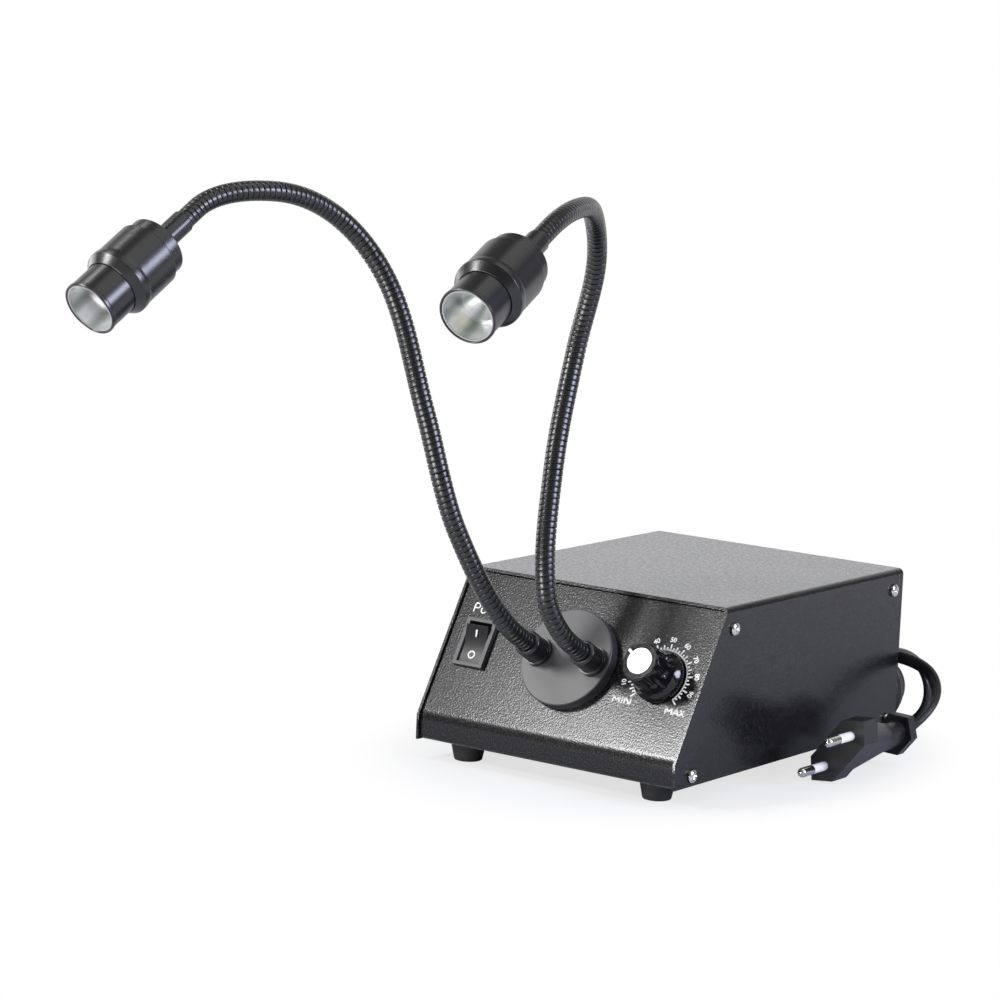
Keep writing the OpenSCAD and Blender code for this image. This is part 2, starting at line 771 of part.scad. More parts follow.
// Barrel with a bulkhead that carries the lamp, and a lip and taper round the socket for the snout
module head_barrel(side) {
    r = barrel_d / 2;
    back = barrel_z + cap_spigot_l + 2 * slip;
    front = barrel_end - taper_l;
    socket_r = snout_d / 2 + slip;
    color("#1d1d1f") on_head(side) rotate_extrude() polygon([
        [wire_d / 2, back],
        [cap_spigot_d / 2 + slip, back],
        [cap_spigot_d / 2 + slip, barrel_z],
        [r - barrel_back, barrel_z],
        [r, barrel_z + barrel_back],
        [r, front - 2 * lip_l],
        [r + lip_t, front - lip_l],
        [r + lip_t, front],
        [socket_r + taper_lip, barrel_end],
        [socket_r, barrel_end],
        [socket_r, snout_z],
        [wire_d / 2, snout_z]
    ]);
}

// Thin snout with a bead round its rim
module head_snout(side) {
    r = snout_d / 2;
    bore_r = r - snout_wall;
    color("#1d1d1f") on_head(side) rotate_extrude() polygon([
        [bore_r, snout_z],
        [r, snout_z],
        [r, rim_z - bead_l - bead_t],
        [r + bead_t, rim_z - bead_l],
        [r + bead_t, rim_z - rim_edge],
        [r + bead_t - rim_edge, rim_z],
        [bore_r + rim_edge, rim_z],
        [bore_r, rim_z - rim_edge]
    ]);
}

// Bright tube in the snout, with a ring half way in and a cone behind it that runs down to the lamp
module head_reflector(side) {
    out_r = snout_d / 2 - snout_wall - slip;
    low = snout_z + led_t;
    step = rim_z - tube_l;
    high = rim_z - cup_lip;
    color("#d8d8da") on_head(side) rotate_extrude() polygon([
        [cup_in_r, low],
        [cup_in_r + cup_t, low],
        [ring_r + cup_t, step - ring_t],
        [out_r, step - ring_t],
        [out_r, high],
        [out_r - cup_t, high],
        [out_r - tube_taper, step],
        [ring_r, step]
    ]);
}

module head_led(side) {
    color("#e6d98a") on_head(side) translate([0, 0, snout_z]) {
        cylinder(d = led_d, h = led_t);
        translate([-chip[0] / 2, -chip[1] / 2, led_t - eps]) cube(chip + [0, 0, eps]);
        translate([0, 0, led_t + chip[2] - eps]) intersection() {
            sphere(d = dome_d);
            translate([-dome_d, -dome_d, 0]) cube(2 * dome_d);
        }
    }
}

// Fluted knob with a skirt, a well for the nut and a bore for the shaft
module dimmer_knob() {
    r = grip_d / 2;
    color("#121214") on_panel(knob_x) rotate([0, 0, 90 + knob_turn]) difference() {
        rotate_extrude() polygon([
            [0, knob_h - cap_sink],
            [0, knob_h - shaft_cover],
            [shaft_d / 2 + fit, knob_h - shaft_cover],
            [shaft_d / 2 + fit, knob_gap + knob_well_h],
            [knob_well_d / 2, knob_gap + knob_well_h],
            [knob_well_d / 2, knob_gap],
            [skirt_d / 2, knob_gap],
            [skirt_d / 2, knob_gap + skirt_h],
            [shoulder_d / 2, shoulder_z],
            [r, flute_z],
            [r - grip_taper, knob_h - grip_edge],
            [r - grip_taper - grip_edge, knob_h],
            [cap_d / 2 + slip, knob_h],
            [cap_d / 2 + slip, knob_h - cap_sink]
        ]);
        for (i = [0:flutes - 1])
            rotate([0, 0, 360 * (i + 0.5) / flutes]) translate([r + flute_out, 0, flute_z + flute_d / 2]) {
                sphere(d = flute_d);
                cylinder(d = flute_d, h = knob_h);
            }
    }
}

module knob_cap() {
    color("#e4e4e6") on_panel(knob_x) translate([0, 0, knob_h - cap_sink]) cylinder(d = cap_d, h = cap_t);
}

module dimmer_shaft() {
    low = -sheet - pot_bore + 2 * slip;
    color("#c4c4c8") on_panel(knob_x) translate([0, 0, low])
        cylinder(d = shaft_d, h = knob_h - shaft_cover - low);
}

// Body of the dimmer behind the panel, with the bush that its shaft turns in
module dimmer_body() {
    color("#3f5f46") on_panel(knob_x) difference() {
        union() {
            translate([0, 0, -sheet - pot_h]) cylinder(d = pot_d, h = pot_h);
            translate([0, 0, -sheet - eps]) cylinder(d = bush_d, h = sheet + bush_out + eps);
        }
        translate([0, 0, -sheet - pot_bore]) cylinder(d = shaft_d + 2 * fit, h = 2 * knob_h);
    }
}

module dimmer_nut() {
    color("#b5b5b8") on_panel(knob_x) difference() {
        cylinder(d = pot_nut_af / cos(30), h = pot_nut_h, $fn = 6);
        translate([0, 0, -eps]) cylinder(d = bush_d + 2 * slip, h = pot_nut_h + 2 * eps);
    }
}

module power_board() {
    color("#2f6b43") translate([-board[0] / 2, board_y - board[1] / 2, foot_h + sheet + board_lift])
        cube(board);
}

module power_transformer() {
    color("#c7b23c")
        translate([-core[0] / 2, board_y - core[1] / 2, foot_h + sheet + board_lift + board[2]]) cube(core);
}

module board_standoffs() {
    color("#bfbfc2")
        for (x = [-1, 1], y = [-1, 1])
            translate([
                x * (board[0] / 2 - standoff_in), board_y + y * (board[1] / 2 - standoff_in), foot_h + sheet
            ]) cylinder(d = standoff_d, h = board_lift);
}

// Bush that holds the lead in the back of the case
module cord_gland() {
    color("#141414") translate([gland_x, back_y, gland_z]) rotate([-90, 0, 0]) rotate_extrude() polygon([
        [0, -gland_body_l], [gland_body_d / 2, -gland_body_l], [gland_body_d / 2, 0],
        [gland_flange_d / 2, 0], [gland_flange_d / 2, gland_flange_h], [gland_foot_d / 2, gland_flange_h],
        [gland_tip_d / 2, gland_flange_h + gland_sleeve_l], [0, gland_flange_h + gland_sleeve_l]
    ]);
}

module cord_lead_in() {
    color("#161616") cord_tube(lead_in_line, [0, 1, 0], [1, 0, 0], cord_d / 2, cord_sides, [0, 0, 1]);
}

module cord_hank() {
    color("#161616") cord_tube(hank_line, [1, 0, 0], [1, 0, 0], cord_d / 2, hank_sides, [0, 1, 0]);
}

module cord_tail() {
    color("#161616") cord_tube(tail_line, [1, 0, 0], [0, -1, 0], cord_d / 2, cord_sides, [0, 0, 1]);
}

module on_plug() {
    translate([plug_x, plug_y, plug_z]) rotate([0, -plug_roll, 0]) rotate([-90, 0, 0]) children();
}

module oval(half, h) {
    linear_extrude(h) scale([half[0], half[1]]) circle(r = 1, $fn = 24);
}

module six_sided(tip, shoulder, half_t, h) {
    linear_extrude(h) polygon([
        [-tip, 0], [-shoulder, -half_t], [shoulder, -half_t],
        [tip, 0], [shoulder, half_t], [-shoulder, half_t]
    ]);
}

// Moulded two-pin plug: flat six-sided head, tapered grip, waist and a six-sided collar at the lead
module plug_body() {
    slice = 0.5;
    color("#131314") on_plug() difference() {
        union() {
            six_sided(plug_tip, plug_shoulder, plug_half_t, plug_head_l);
            hull() {
                translate([0, 0, plug_head_l - slice])
                    six_sided(plug_tip * plug_step, plug_shoulder * plug_step,
                        plug_half_t * plug_step, slice);
                translate([0, 0, waist_l - slice]) oval(waist, slice);
            }
            translate([0, 0, waist_l - slice]) oval(waist, waist_end - waist_l + slice + eps);
            translate([0, 0, waist_end]) six_sided(collar_tip, collar_shoulder, collar_half_t, collar_l);
            hull() {
                translate([0, 0, waist_end + collar_l - slice])
                    six_sided(collar_tip, collar_shoulder, collar_half_t, slice);
                translate([0, 0, plug_l - slice]) six_sided(collar_tip * collar_end,
                    collar_shoulder * collar_end, collar_half_t * collar_end, slice);
            }
        }
        for (x = [-pin_gap / 2, pin_gap / 2])
            translate([x, 0, -eps]) cylinder(d = pin_core_d + 2 * slip, h = pin_depth + eps);
    }
}

module plug_pins() {
    tip = pin_l - pin_d / 2;
    color("#d5d5d8") on_plug()
        for (x = [-pin_gap / 2, pin_gap / 2])
            translate([x, 0, 0]) {
                translate([0, 0, -pin_root]) cylinder(d = pin_core_d, h = pin_root + pin_depth);
                translate([0, 0, -tip]) cylinder(d = pin_d, h = tip - pin_root);
                translate([0, 0, -tip]) sphere(d = pin_d);
            }
}

module pin_sleeves() {
    color("#efefe9") on_plug()
        for (x = [-pin_gap / 2, pin_gap / 2])
            translate([x, 0, -pin_root]) difference() {
                cylinder(d = sleeve_d, h = pin_root);
                translate([0, 0, -eps]) cylinder(d = pin_core_d + 2 * slip, h = pin_root + 2 * eps);
            }
}

// Least room between the turns of the hank
union() {  // cord_hank
    fine = [for (i = [0:fine_steps * hank_turns]) hank_at(i / fine_steps)];
    skip = fine_steps / 6;
    echo(turn_gap = min([
        for (i = [0:len(fine) - 1])
            for (j = [i + skip:1:len(fine) - 1]) norm(fine[i] - fine[j])
    ]) - cord_d);
    echo(arm_lengths = [arm_len(-1), arm_len(1)]);
}

case_chassis();
case_cover();
cover_screws();
rubber_feet();
foot_screws();
switch_housing();
switch_rocker();
switch_terminals();
arm_disc();
arm_ferrules();
ferrule_nuts();
hose_part(-1, 0);  // left_hose_base
hose_part(-1, 1);  // left_bend_low
hose_part(-1, 2);  // left_hose_lower
hose_part(-1, 3);  // left_bend_mid
hose_part(-1, 4);  // left_hose_upper
hose_part(-1, 5);  // left_bend_top
hose_part(-1, 6);  // left_hose_end
head_neck(-1);  // left_neck
head_rear_cap(-1);  // left_rear_cap
head_barrel(-1);  // left_barrel
head_snout(-1);  // left_snout
head_reflector(-1);  // left_reflector
head_led(-1);  // left_led
hose_part(1, 0);  // right_hose_base
hose_part(1, 1);  // right_bend_low
hose_part(1, 2);  // right_hose_lower
hose_part(1, 3);  // right_bend_mid
hose_part(1, 4);  // right_hose_upper
hose_part(1, 5);  // right_bend_top
hose_part(1, 6);  // right_hose_end
head_neck(1);  // right_neck
head_rear_cap(1);  // right_rear_cap
head_barrel(1);  // right_barrel
head_snout(1);  // right_snout
head_reflector(1);  // right_reflector
head_led(1);  // right_led
dimmer_knob();
knob_cap();
dimmer_shaft();
dimmer_body();
dimmer_nut();
power_board();
power_transformer();
board_standoffs();
cord_gland();
cord_lead_in();
cord_hank();
cord_tail();
plug_body();
plug_pins();
pin_sleeves();
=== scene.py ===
import math

import bmesh
import bpy
from mathutils import Matrix, Vector


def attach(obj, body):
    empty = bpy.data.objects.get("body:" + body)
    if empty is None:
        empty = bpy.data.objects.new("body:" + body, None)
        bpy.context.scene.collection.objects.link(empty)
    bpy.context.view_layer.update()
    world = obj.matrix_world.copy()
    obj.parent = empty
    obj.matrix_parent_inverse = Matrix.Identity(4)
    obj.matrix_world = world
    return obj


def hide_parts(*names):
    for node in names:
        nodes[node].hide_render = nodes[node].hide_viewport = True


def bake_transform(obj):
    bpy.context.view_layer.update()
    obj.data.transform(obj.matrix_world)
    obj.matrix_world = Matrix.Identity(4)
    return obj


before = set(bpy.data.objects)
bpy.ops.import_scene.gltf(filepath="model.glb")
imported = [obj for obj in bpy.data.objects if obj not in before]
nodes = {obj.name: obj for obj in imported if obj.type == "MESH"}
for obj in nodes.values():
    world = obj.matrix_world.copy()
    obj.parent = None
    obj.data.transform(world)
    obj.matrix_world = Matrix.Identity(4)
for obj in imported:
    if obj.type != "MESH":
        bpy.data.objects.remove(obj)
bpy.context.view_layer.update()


# Camera: a short telephoto on a stand, a little above the case and off to its right-hand side.
# It stands where the edges of the case put it, and leans by the two degrees that they show.
camera_az, camera_el, camera_roll = (math.radians(a) for a in (35.952, 8.797, 2.426))
camera_at = (0.802478, -1.228498, 0.331013)
look_back = Vector((
    math.sin(camera_az) * math.cos(camera_el),
    -math.cos(camera_az) * math.cos(camera_el),
    math.sin(camera_el),
))
level_right = Vector((math.cos(camera_az), math.sin(camera_az), 0))
level_up = look_back.cross(level_right)
lens_right = level_right * math.cos(camera_roll) + level_up * math.sin(camera_roll)
lens_up = level_up * math.cos(camera_roll) - level_right * math.sin(camera_roll)
camera = bpy.data.objects.new("camera", bpy.data.cameras.new("camera"))
camera.data.sensor_fit = "HORIZONTAL"
camera.data.sensor_width = 36
camera.data.lens = 127.75
camera.data.clip_end = 60
camera.matrix_world = Matrix.Translation(camera_at) @ Matrix(
    (lens_right, lens_up, look_back)
).transposed().to_4x4()
bpy.context.scene.collection.objects.link(camera)
bpy.context.scene.camera = camera
bpy.context.scene.view_settings.view_transform = "Standard"


# Studio: white paper on a table that sweeps up behind the object, in a dim grey room, with soft
# boxes overhead, high on the left, at the front left, low at the front and on the left, and a
# cooler one on the right.
def srgb(code):
    parts = [int(code[i:i + 2], 16) / 255 for i in (1, 3, 5)]
    return [c / 12.92 if c <= 0.04045 else ((c + 0.055) / 1.055) ** 2.4 for c in parts] + [1]


def add(owner, kind, **given):
    tree = owner.node_tree
    made = tree.nodes.new("ShaderNode" + kind)
    for name, value in given.items():
        if hasattr(made, name):
            setattr(made, name, value)
            continue
        socket = made.inputs[int(name[1:]) if name[1:].isdigit() else name.replace("_", " ")]
        if isinstance(value, bpy.types.NodeSocket):
            tree.links.new(value, socket)
        else:
            socket.default_value = value
    return made


def bare_tree(owner):
    owner.use_nodes = True
    owner.node_tree.nodes.clear()
    return owner


def smooth(mesh):
    for face in mesh.polygons:
        face.use_smooth = True


room = bare_tree(bpy.data.worlds.new("dim_grey_room"))
bpy.context.scene.world = room
room_air = add(room, "Background", Color=srgb("#ffffff"), Strength=0.22)
add(room, "OutputWorld", Surface=room_air.outputs[0])

sweep_front, sweep_back, sweep_round, sweep_top, sweep_half = -4.0, 2.4, 0.8, 2.6, 4.0
sweep_steps = 24
sweep_line = [(sweep_front, 0.0)] + [
    (sweep_back + sweep_round * math.sin(a), sweep_round - sweep_round * math.cos(a))
    for a in (math.pi / 2 * k / sweep_steps for k in range(sweep_steps + 1))
] + [(sweep_back + sweep_round, sweep_top)]
level_away = Vector((-look_back.x, -look_back.y, 0)).normalized()
sweep_points = [
    away * level_away + side * level_right + Vector((0, 0, high))
    for away, high in sweep_line for side in (-sweep_half, sweep_half)
]
sweep_faces = [(2 * k, 2 * k + 1, 2 * k + 3, 2 * k + 2) for k in range(len(sweep_line) - 1)]
paper = bpy.data.objects.new("paper_sweep", bpy.data.meshes.new("paper_sweep"))
paper.data.from_pydata(sweep_points, [], sweep_faces)
smooth(paper.data)
bpy.context.scene.collection.objects.link(paper)

# Matt white paper: it shows the shadows close to the object and runs out into plain white.
shadow_oval = (1.3, 1, 1)
paper_white = bare_tree(bpy.data.materials.new("matt_white_paper"))
paper_at = add(paper_white, "TexCoord")
paper_oval = add(paper_white, "VectorMath", operation="MULTIPLY",
                 _0=paper_at.outputs["Object"], _1=shadow_oval)
paper_far = add(paper_white, "VectorMath", operation="LENGTH", _0=paper_oval.outputs[0])
paper_fade = add(paper_white, "MapRange", interpolation_type="SMOOTHSTEP",
                 Value=paper_far.outputs["Value"], From_Min=0.1, From_Max=0.16, To_Min=0.72, To_Max=1.0)
paper_late = add(paper_white, "MapRange", interpolation_type="SMOOTHSTEP",
                 Value=paper_far.outputs["Value"], From_Min=0.25, From_Max=0.9)
paper_ray = add(paper_white, "LightPath")
paper_seen = add(paper_white, "Math", operation="MULTIPLY",
                 _0=paper_ray.outputs["Is Camera Ray"], _1=paper_fade.outputs[0])
paper_clear = add(paper_white, "Math", operation="MAXIMUM",
                  _0=paper_ray.outputs["Is Glossy Ray"], _1=paper_ray.outputs["Is Transmission Ray"])
paper_mirrored = add(paper_white, "Math", operation="MULTIPLY",
                     _0=paper_clear.outputs[0], _1=paper_late.outputs[0])
paper_share = add(paper_white, "Math", operation="MAXIMUM",
                  _0=paper_seen.outputs[0], _1=paper_mirrored.outputs[0])
paper_matt = add(paper_white, "BsdfDiffuse", Color=srgb("#c6c7cd"))
paper_glow = add(paper_white, "Emission", Color=srgb("#ffffff"), Strength=1.0)
paper_mix = add(paper_white, "MixShader", Fac=paper_share.outputs[0],
                _1=paper_matt.outputs[0], _2=paper_glow.outputs[0])
add(paper_white, "OutputMaterial", Surface=paper_mix.outputs[0])
paper.data.materials.append(paper_white)


def soft_box(name, at, aim, across, watts, colour="#ffffff"):
    lamp = bpy.data.lights.new(name, "AREA")
    lamp.shape, lamp.size, lamp.size_y, lamp.energy = "RECTANGLE", across[0], across[1], watts
    lamp.color = srgb(colour)[:3]
    box = bpy.data.objects.new(name, lamp)
    box.location = at
    box.rotation_euler = (Vector(aim) - Vector(at)).to_track_quat("-Z", "Y").to_euler()
    bpy.context.scene.collection.objects.link(box)


soft_box("overhead_box", at=(0.55, 0.1, 1.4), aim=(0, 0, 0), across=(1.1, 1.1), watts=4)
soft_box("high_left_box", at=(-0.65, -0.38, 1.1), aim=(0, -0.07, 0.05), across=(0.35, 0.35), watts=6)
soft_box("front_left_box", at=(-0.51, -0.84, 0.64), aim=(0.02, -0.08, 0.04), across=(0.2, 0.2), watts=7.3)
soft_box("low_front_box", at=(-0.12, -0.86, 0.06), aim=(-0.02, -0.1, 0.13), across=(0.3, 0.2), watts=4)
soft_box("left_box", at=(-1.1, -0.2, 0.25), aim=(0, -0.15, 0.15), across=(0.6, 0.4), watts=2.6)
soft_box("right_box", at=(1.17, 0.14, 0.56), aim=(-0.03, -0.15, 0.17), across=(0.6, 0.45), watts=16,
         colour="#e0e3ff")


# Case: a folded tray (sloped panel, front strip, floor, back) under a U-shaped cover, both of
# 1.2 mm steel sheet, punched, folded and sprayed with black powder that is baked on.
def finish(name, colour, metallic, roughness, **more):
    made = bare_tree(bpy.data.materials.new(name))
    shader = add(made, "BsdfPrincipled", Base_Color=srgb(colour), Metallic=metallic, Roughness=roughness)
    for socket, value in more.items():
        shader.inputs[socket.replace("_", " ")].default_value = value
    add(made, "OutputMaterial", Surface=shader.outputs[0])
    return made, shader, add(made, "TexCoord").outputs["Object"]


def join(made, output, shader, socket):
    made.node_tree.links.new(output, shader.inputs[socket])


def dress(names, made, edge_mm):
    for name in names:
        piece = nodes[name]
        piece.data.materials.clear()
        piece.data.materials.append(made)
        smooth(piece.data)
        weld = piece.modifiers.new("weld", "WELD")
        weld.merge_threshold = 2e-6
        plain = piece.modifiers.new("plain", "DECIMATE")
        plain.decimate_type, plain.angle_limit = "DISSOLVE", math.radians(0.5)
        if edge_mm:
            edge = piece.modifiers.new("edge", "BEVEL")
            edge.width, edge.segments = edge_mm / 1000, 2
            edge.limit_method, edge.angle_limit = "ANGLE", math.radians(34)
            flat = piece.modifiers.new("flat", "WEIGHTED_NORMAL")
            flat.weight, flat.keep_sharp = 60, False
        else:
            crease = piece.modifiers.new("crease", "EDGE_SPLIT")
            crease.split_angle = math.radians(25)


# Polyester powder coat: it melts into low bumps under a millimetre apart, with a fine orange peel
# on them, so a black satin that glints in specks wherever a lamp stands in its mirror, and shows a
# mottled bloom at a low angle. The tops of the bumps are painted a lighter grey as painted glints.
powder, powder_shader, powder_at = finish("powder_coat_black_textured", "#111112", 0.0, 0.2,
                                          IOR=1.44, Sheen_Roughness=0.3)
powder_bumps = add(powder, "TexNoise", Vector=powder_at, Scale=1 / 0.0007, Detail=0.0)
powder_peel = add(powder, "TexNoise", Vector=powder_at, Scale=1 / 0.0003, Detail=1.0)
powder_patch = add(powder, "TexNoise", Vector=powder_at, Scale=1 / 0.03, Detail=2.0)
powder_rough = add(powder, "MapRange", Value=powder_patch.outputs["Fac"], To_Min=0.2, To_Max=0.25)
# Lighter grey on the tops of the bumps: painted glints.
powder_painted_glint_speck = add(powder, "MapRange", Value=powder_bumps.outputs["Fac"], From_Min=0.5, From_Max=0.7)
powder_tint_painted_glints = add(powder, "MixRGB", Fac=powder_painted_glint_speck.outputs[0],
                  Color1=srgb("#0b0b0c"), Color2=srgb("#222223"))
powder_grain = add(powder, "TexNoise", Vector=powder_at, Scale=1 / 0.0016, Detail=2.0)
powder_bloom = add(powder, "MapRange", Value=powder_grain.outputs["Fac"],
                   From_Min=0.35, From_Max=0.65, To_Min=0.05, To_Max=0.5)
powder_low = add(powder, "Bump", Height=powder_peel.outputs["Fac"], Strength=1.0, Distance=0.00001)
powder_high = add(powder, "Bump", Height=powder_bumps.outputs["Fac"], Normal=powder_low.outputs[0],
                  Strength=1.0, Distance=0.00004)
join(powder, powder_tint_painted_glints.outputs[0], powder_shader, "Base Color")
join(powder, powder_rough.outputs[0], powder_shader, "Roughness")
join(powder, powder_bloom.outputs[0], powder_shader, "Sheen Weight")
join(powder, powder_high.outputs[0], powder_shader, "Normal")
dress(["case_chassis", "case_cover"], powder, 0.25)


# Cover screws: eight M3 pan-head screws with a cross recess, turned and bright nickel plated,
# driven through the sides of the cover into the ears and flanges of the tray.
case_front, case_half, case_high, strip_high, foot_high, sheet_t = -86, 64, 69, 10.5, 8, 1.2
panel_angle = math.radians(60)
panel_out = Vector((0, -math.sin(panel_angle), math.cos(panel_angle)))
panel_up = Vector((0, math.cos(panel_angle), math.sin(panel_angle)))
panel_foot = Vector((0, case_front, foot_high + strip_high)) - sheet_t * panel_out
panel_length = (case_high - strip_high) / math.sin(panel_angle)


def new_piece(name, points, faces, made, body):
    mesh = bpy.data.meshes.new(name)
    mesh.from_pydata([Vector(p) / 1000 for p in points], [], faces)
    mesh.validate()
    shape = bmesh.new()
    shape.from_mesh(mesh)
    bmesh.ops.recalc_face_normals(shape, faces=shape.faces)
    shape.to_mesh(mesh)
    shape.free()
    smooth(mesh)
    mesh.materials.append(made)
    piece = bpy.data.objects.new(name, mesh)
    bpy.context.scene.collection.objects.link(piece)
    if body:
        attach(piece, body)
    return piece


def band(low, steps, faces):
    for k in range(steps):
        j = (k + 1) % steps
        faces.append((low + k, low + j, low + steps + j, low + steps + k))


def turned(profile, steps, place, points, faces):
    first = len(points)
    for r, z in profile:
        for k in range(steps):
            a = 2 * math.pi * k / steps
            points.append(place @ Vector((r * math.cos(a), r * math.sin(a), z)))
    for i in range(len(profile) - 1):
        band(first + i * steps, steps, faces)
    faces.append(tuple(first + k for k in reversed(range(steps))))


# Bright nickel: a warm white metal, smooth, with a haze of fine handling marks.
nickel, nickel_shader, nickel_at = finish("nickel_plate_bright", "#d8d6d2", 1.0, 0.16)
nickel_marks = add(nickel, "TexNoise", Vector=nickel_at, Scale=1 / 0.0006, Detail=4.0)
nickel_rough = add(nickel, "MapRange", Value=nickel_marks.outputs["Fac"], To_Min=0.10, To_Max=0.24)
join(nickel, nickel_rough.outputs[0], nickel_shader, "Roughness")

screw_head = [(1.5, -6.0), (1.5, 0.0), (2.7, 0.0), (2.7, 0.75), (2.55, 1.12), (2.2, 1.42), (1.7, 1.64),
              (1.25, 1.74)]
screw_steps = 48
cross_wide, cross_arm, cross_top, cross_deep, cross_taper = 0.36, 1.2, 1.78, 0.85, 0.55


def cross_screw(place, points, faces):
    rim = len(points) + (len(screw_head) - 1) * screw_steps
    turned(screw_head, screw_steps, place, points, faces)
    recess = []
    for k in range(screw_steps):
        a = 2 * math.pi * k / screw_steps
        c, s = math.cos(a), math.sin(a)
        slim = min(abs(c), abs(s))
        r = cross_arm if slim * cross_arm <= cross_wide else cross_wide / slim
        recess.append((r * c, r * s))
    for level, scale in ((cross_top, 1.0), (cross_top - cross_deep, cross_taper)):
        points.extend(place @ Vector((x * scale, y * scale, level)) for x, y in recess)
    for low in (rim, rim + screw_steps):
        band(low, screw_steps, faces)
    faces.append(tuple(rim + 2 * screw_steps + k for k in range(screw_steps)))


ear_down, ear_deep = 5.6, 7.2
flange_front, flange_back, flange_low, flange_high = -74, 78, 12.3, 68.4
first_turn, next_turn = 0.5, 0.9
ear_at = panel_foot + (panel_length - ear_down) * panel_up - ear_deep * panel_out
screw_spots = [(ear_at.y, ear_at.z), (flange_back, flange_high),
               (flange_front, flange_low), (flange_back, flange_low)]
screw_points, screw_faces = [], []
for side in (-1, 1):
    for spin, (y, z) in enumerate(screw_spots):
        cross_screw(Matrix.Translation((side * case_half, y, z)) @ Matrix.Rotation(side * math.pi / 2, 4, "Y")
                    @ Matrix.Rotation(first_turn + next_turn * spin, 4, "Z"), screw_points, screw_faces)
screws = new_piece("cover_screws_cross_head", screw_points, screw_faces, nickel, "case")
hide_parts("cover_screws")


# Feet: four tapered pads of moulded rubber, each held up into the floor of the tray by a zinc
# plated screw that is sunk in its underside.
# Moulded rubber: matt black with a dusty bloom.
rubber, rubber_shader, rubber_at = finish("rubber_moulded_matt", "#161616", 0.0, 0.7)
rubber_bloom = add(rubber, "TexNoise", Vector=rubber_at, Scale=1 / 0.004, Detail=3.0)
rubber_tint = add(rubber, "MixRGB", Fac=rubber_bloom.outputs["Fac"],
                  Color1=srgb("#0f0f0f"), Color2=srgb("#212122"))
rubber_grain = add(rubber, "TexNoise", Vector=rubber_at, Scale=1 / 0.0003)
rubber_bump = add(rubber, "Bump", Height=rubber_grain.outputs["Fac"], Strength=0.6, Distance=0.00003)
join(rubber, rubber_tint.outputs[0], rubber_shader, "Base Color")
join(rubber, rubber_bump.outputs[0], rubber_shader, "Normal")
dress(["rubber_feet"], rubber, 0.5)

# Bright zinc: bluish grey metal with a faint crystalline mottle.
zinc, zinc_shader, zinc_at = finish("zinc_plate_bright", "#b9bcc0", 1.0, 0.3)
zinc_mottle = add(zinc, "TexNoise", Vector=zinc_at, Scale=1 / 0.0015, Detail=3.0)
zinc_tint = add(zinc, "MixRGB", Fac=zinc_mottle.outputs["Fac"],
                Color1=srgb("#a9adb2"), Color2=srgb("#c8cacc"))
zinc_rough = add(zinc, "MapRange", Value=zinc_mottle.outputs["Fac"], To_Min=0.22, To_Max=0.4)
join(zinc, zinc_tint.outputs[0], zinc_shader, "Base Color")
join(zinc, zinc_rough.outputs[0], zinc_shader, "Roughness")
dress(["foot_screws", "ferrule_nuts", "dimmer_nut", "board_standoffs", "dimmer_shaft"], zinc, 0.15)


# Rocker switch: housing with its bezel and the rocker, moulded in polyamide and snapped into the
# panel, with two tinned brass blades behind. The I and O are white ink filled into the rocker.
# Moulded polyamide: satin dark grey with the fine even grain of a spark eroded mould.
nylon, nylon_shader, nylon_at = finish("polyamide_moulded_satin", "#363638", 0.0, 0.45)
nylon_grain = add(nylon, "TexNoise", Vector=nylon_at, Scale=1 / 0.00025, Detail=2.0)
nylon_rough = add(nylon, "MapRange", Value=nylon_grain.outputs["Fac"], To_Min=0.34, To_Max=0.5)
nylon_bump = add(nylon, "Bump", Height=nylon_grain.outputs["Fac"], Strength=0.5, Distance=0.00002)
join(nylon, nylon_rough.outputs[0], nylon_shader, "Roughness")
join(nylon, nylon_bump.outputs[0], nylon_shader, "Normal")
dress(["switch_housing"], nylon, 0.3)

# The rocker comes from a polished mould, so it is darker and shows a soft sheen from end to end.
rocker_nylon, rocker_shader, rocker_at = finish("polyamide_moulded_polished", "#0f0f11", 0.0, 0.3, IOR=1.4)
rocker_film = add(rocker_nylon, "TexNoise", Vector=rocker_at, Scale=1 / 0.001, Detail=2.0)
rocker_rough = add(rocker_nylon, "MapRange", Value=rocker_film.outputs["Fac"], To_Min=0.26, To_Max=0.36)
join(rocker_nylon, rocker_rough.outputs[0], rocker_shader, "Roughness")
dress(["switch_rocker"], rocker_nylon, 0.4)

# Tinned brass: pale yellow metal under a thin grey coat.
tinned, tinned_shader, tinned_at = finish("brass_tinned", "#c9bd94", 1.0, 0.35)
tinned_patch = add(tinned, "TexNoise", Vector=tinned_at, Scale=1 / 0.002, Detail=3.0)
tinned_tint = add(tinned, "MixRGB", Fac=tinned_patch.outputs["Fac"],
                  Color1=srgb("#bfb184"), Color2=srgb("#cfcbbf"))
join(tinned, tinned_tint.outputs[0], tinned_shader, "Base Color")
dress(["switch_terminals"], tinned, 0.1)

# Screen printed ink: white, a little thinner in places, and nearly as glossy as the coat under it.
ink, ink_shader, ink_at = finish("screen_ink_white", "#f4f4f2", 0.0, 0.28)
ink_film = add(ink, "TexNoise", Vector=ink_at, Scale=1 / 0.0004, Detail=2.0)
ink_tint = add(ink, "MixRGB", Fac=ink_film.outputs["Fac"], Color1=srgb("#e9e9e6"), Color2=srgb("#fbfbfa"))
join(ink, ink_tint.outputs[0], ink_shader, "Base Color")

# The switch, the disc of the arms and the knob sit in one row, this far up the panel.
row_up = 34.5


def on_panel(x, up=row_up):
    spot = panel_foot + Vector((x, 0, 0)) + up * panel_up
    return Matrix.Translation(spot) @ Matrix((Vector((1, 0, 0)), panel_up, panel_out)).transposed().to_4x4()


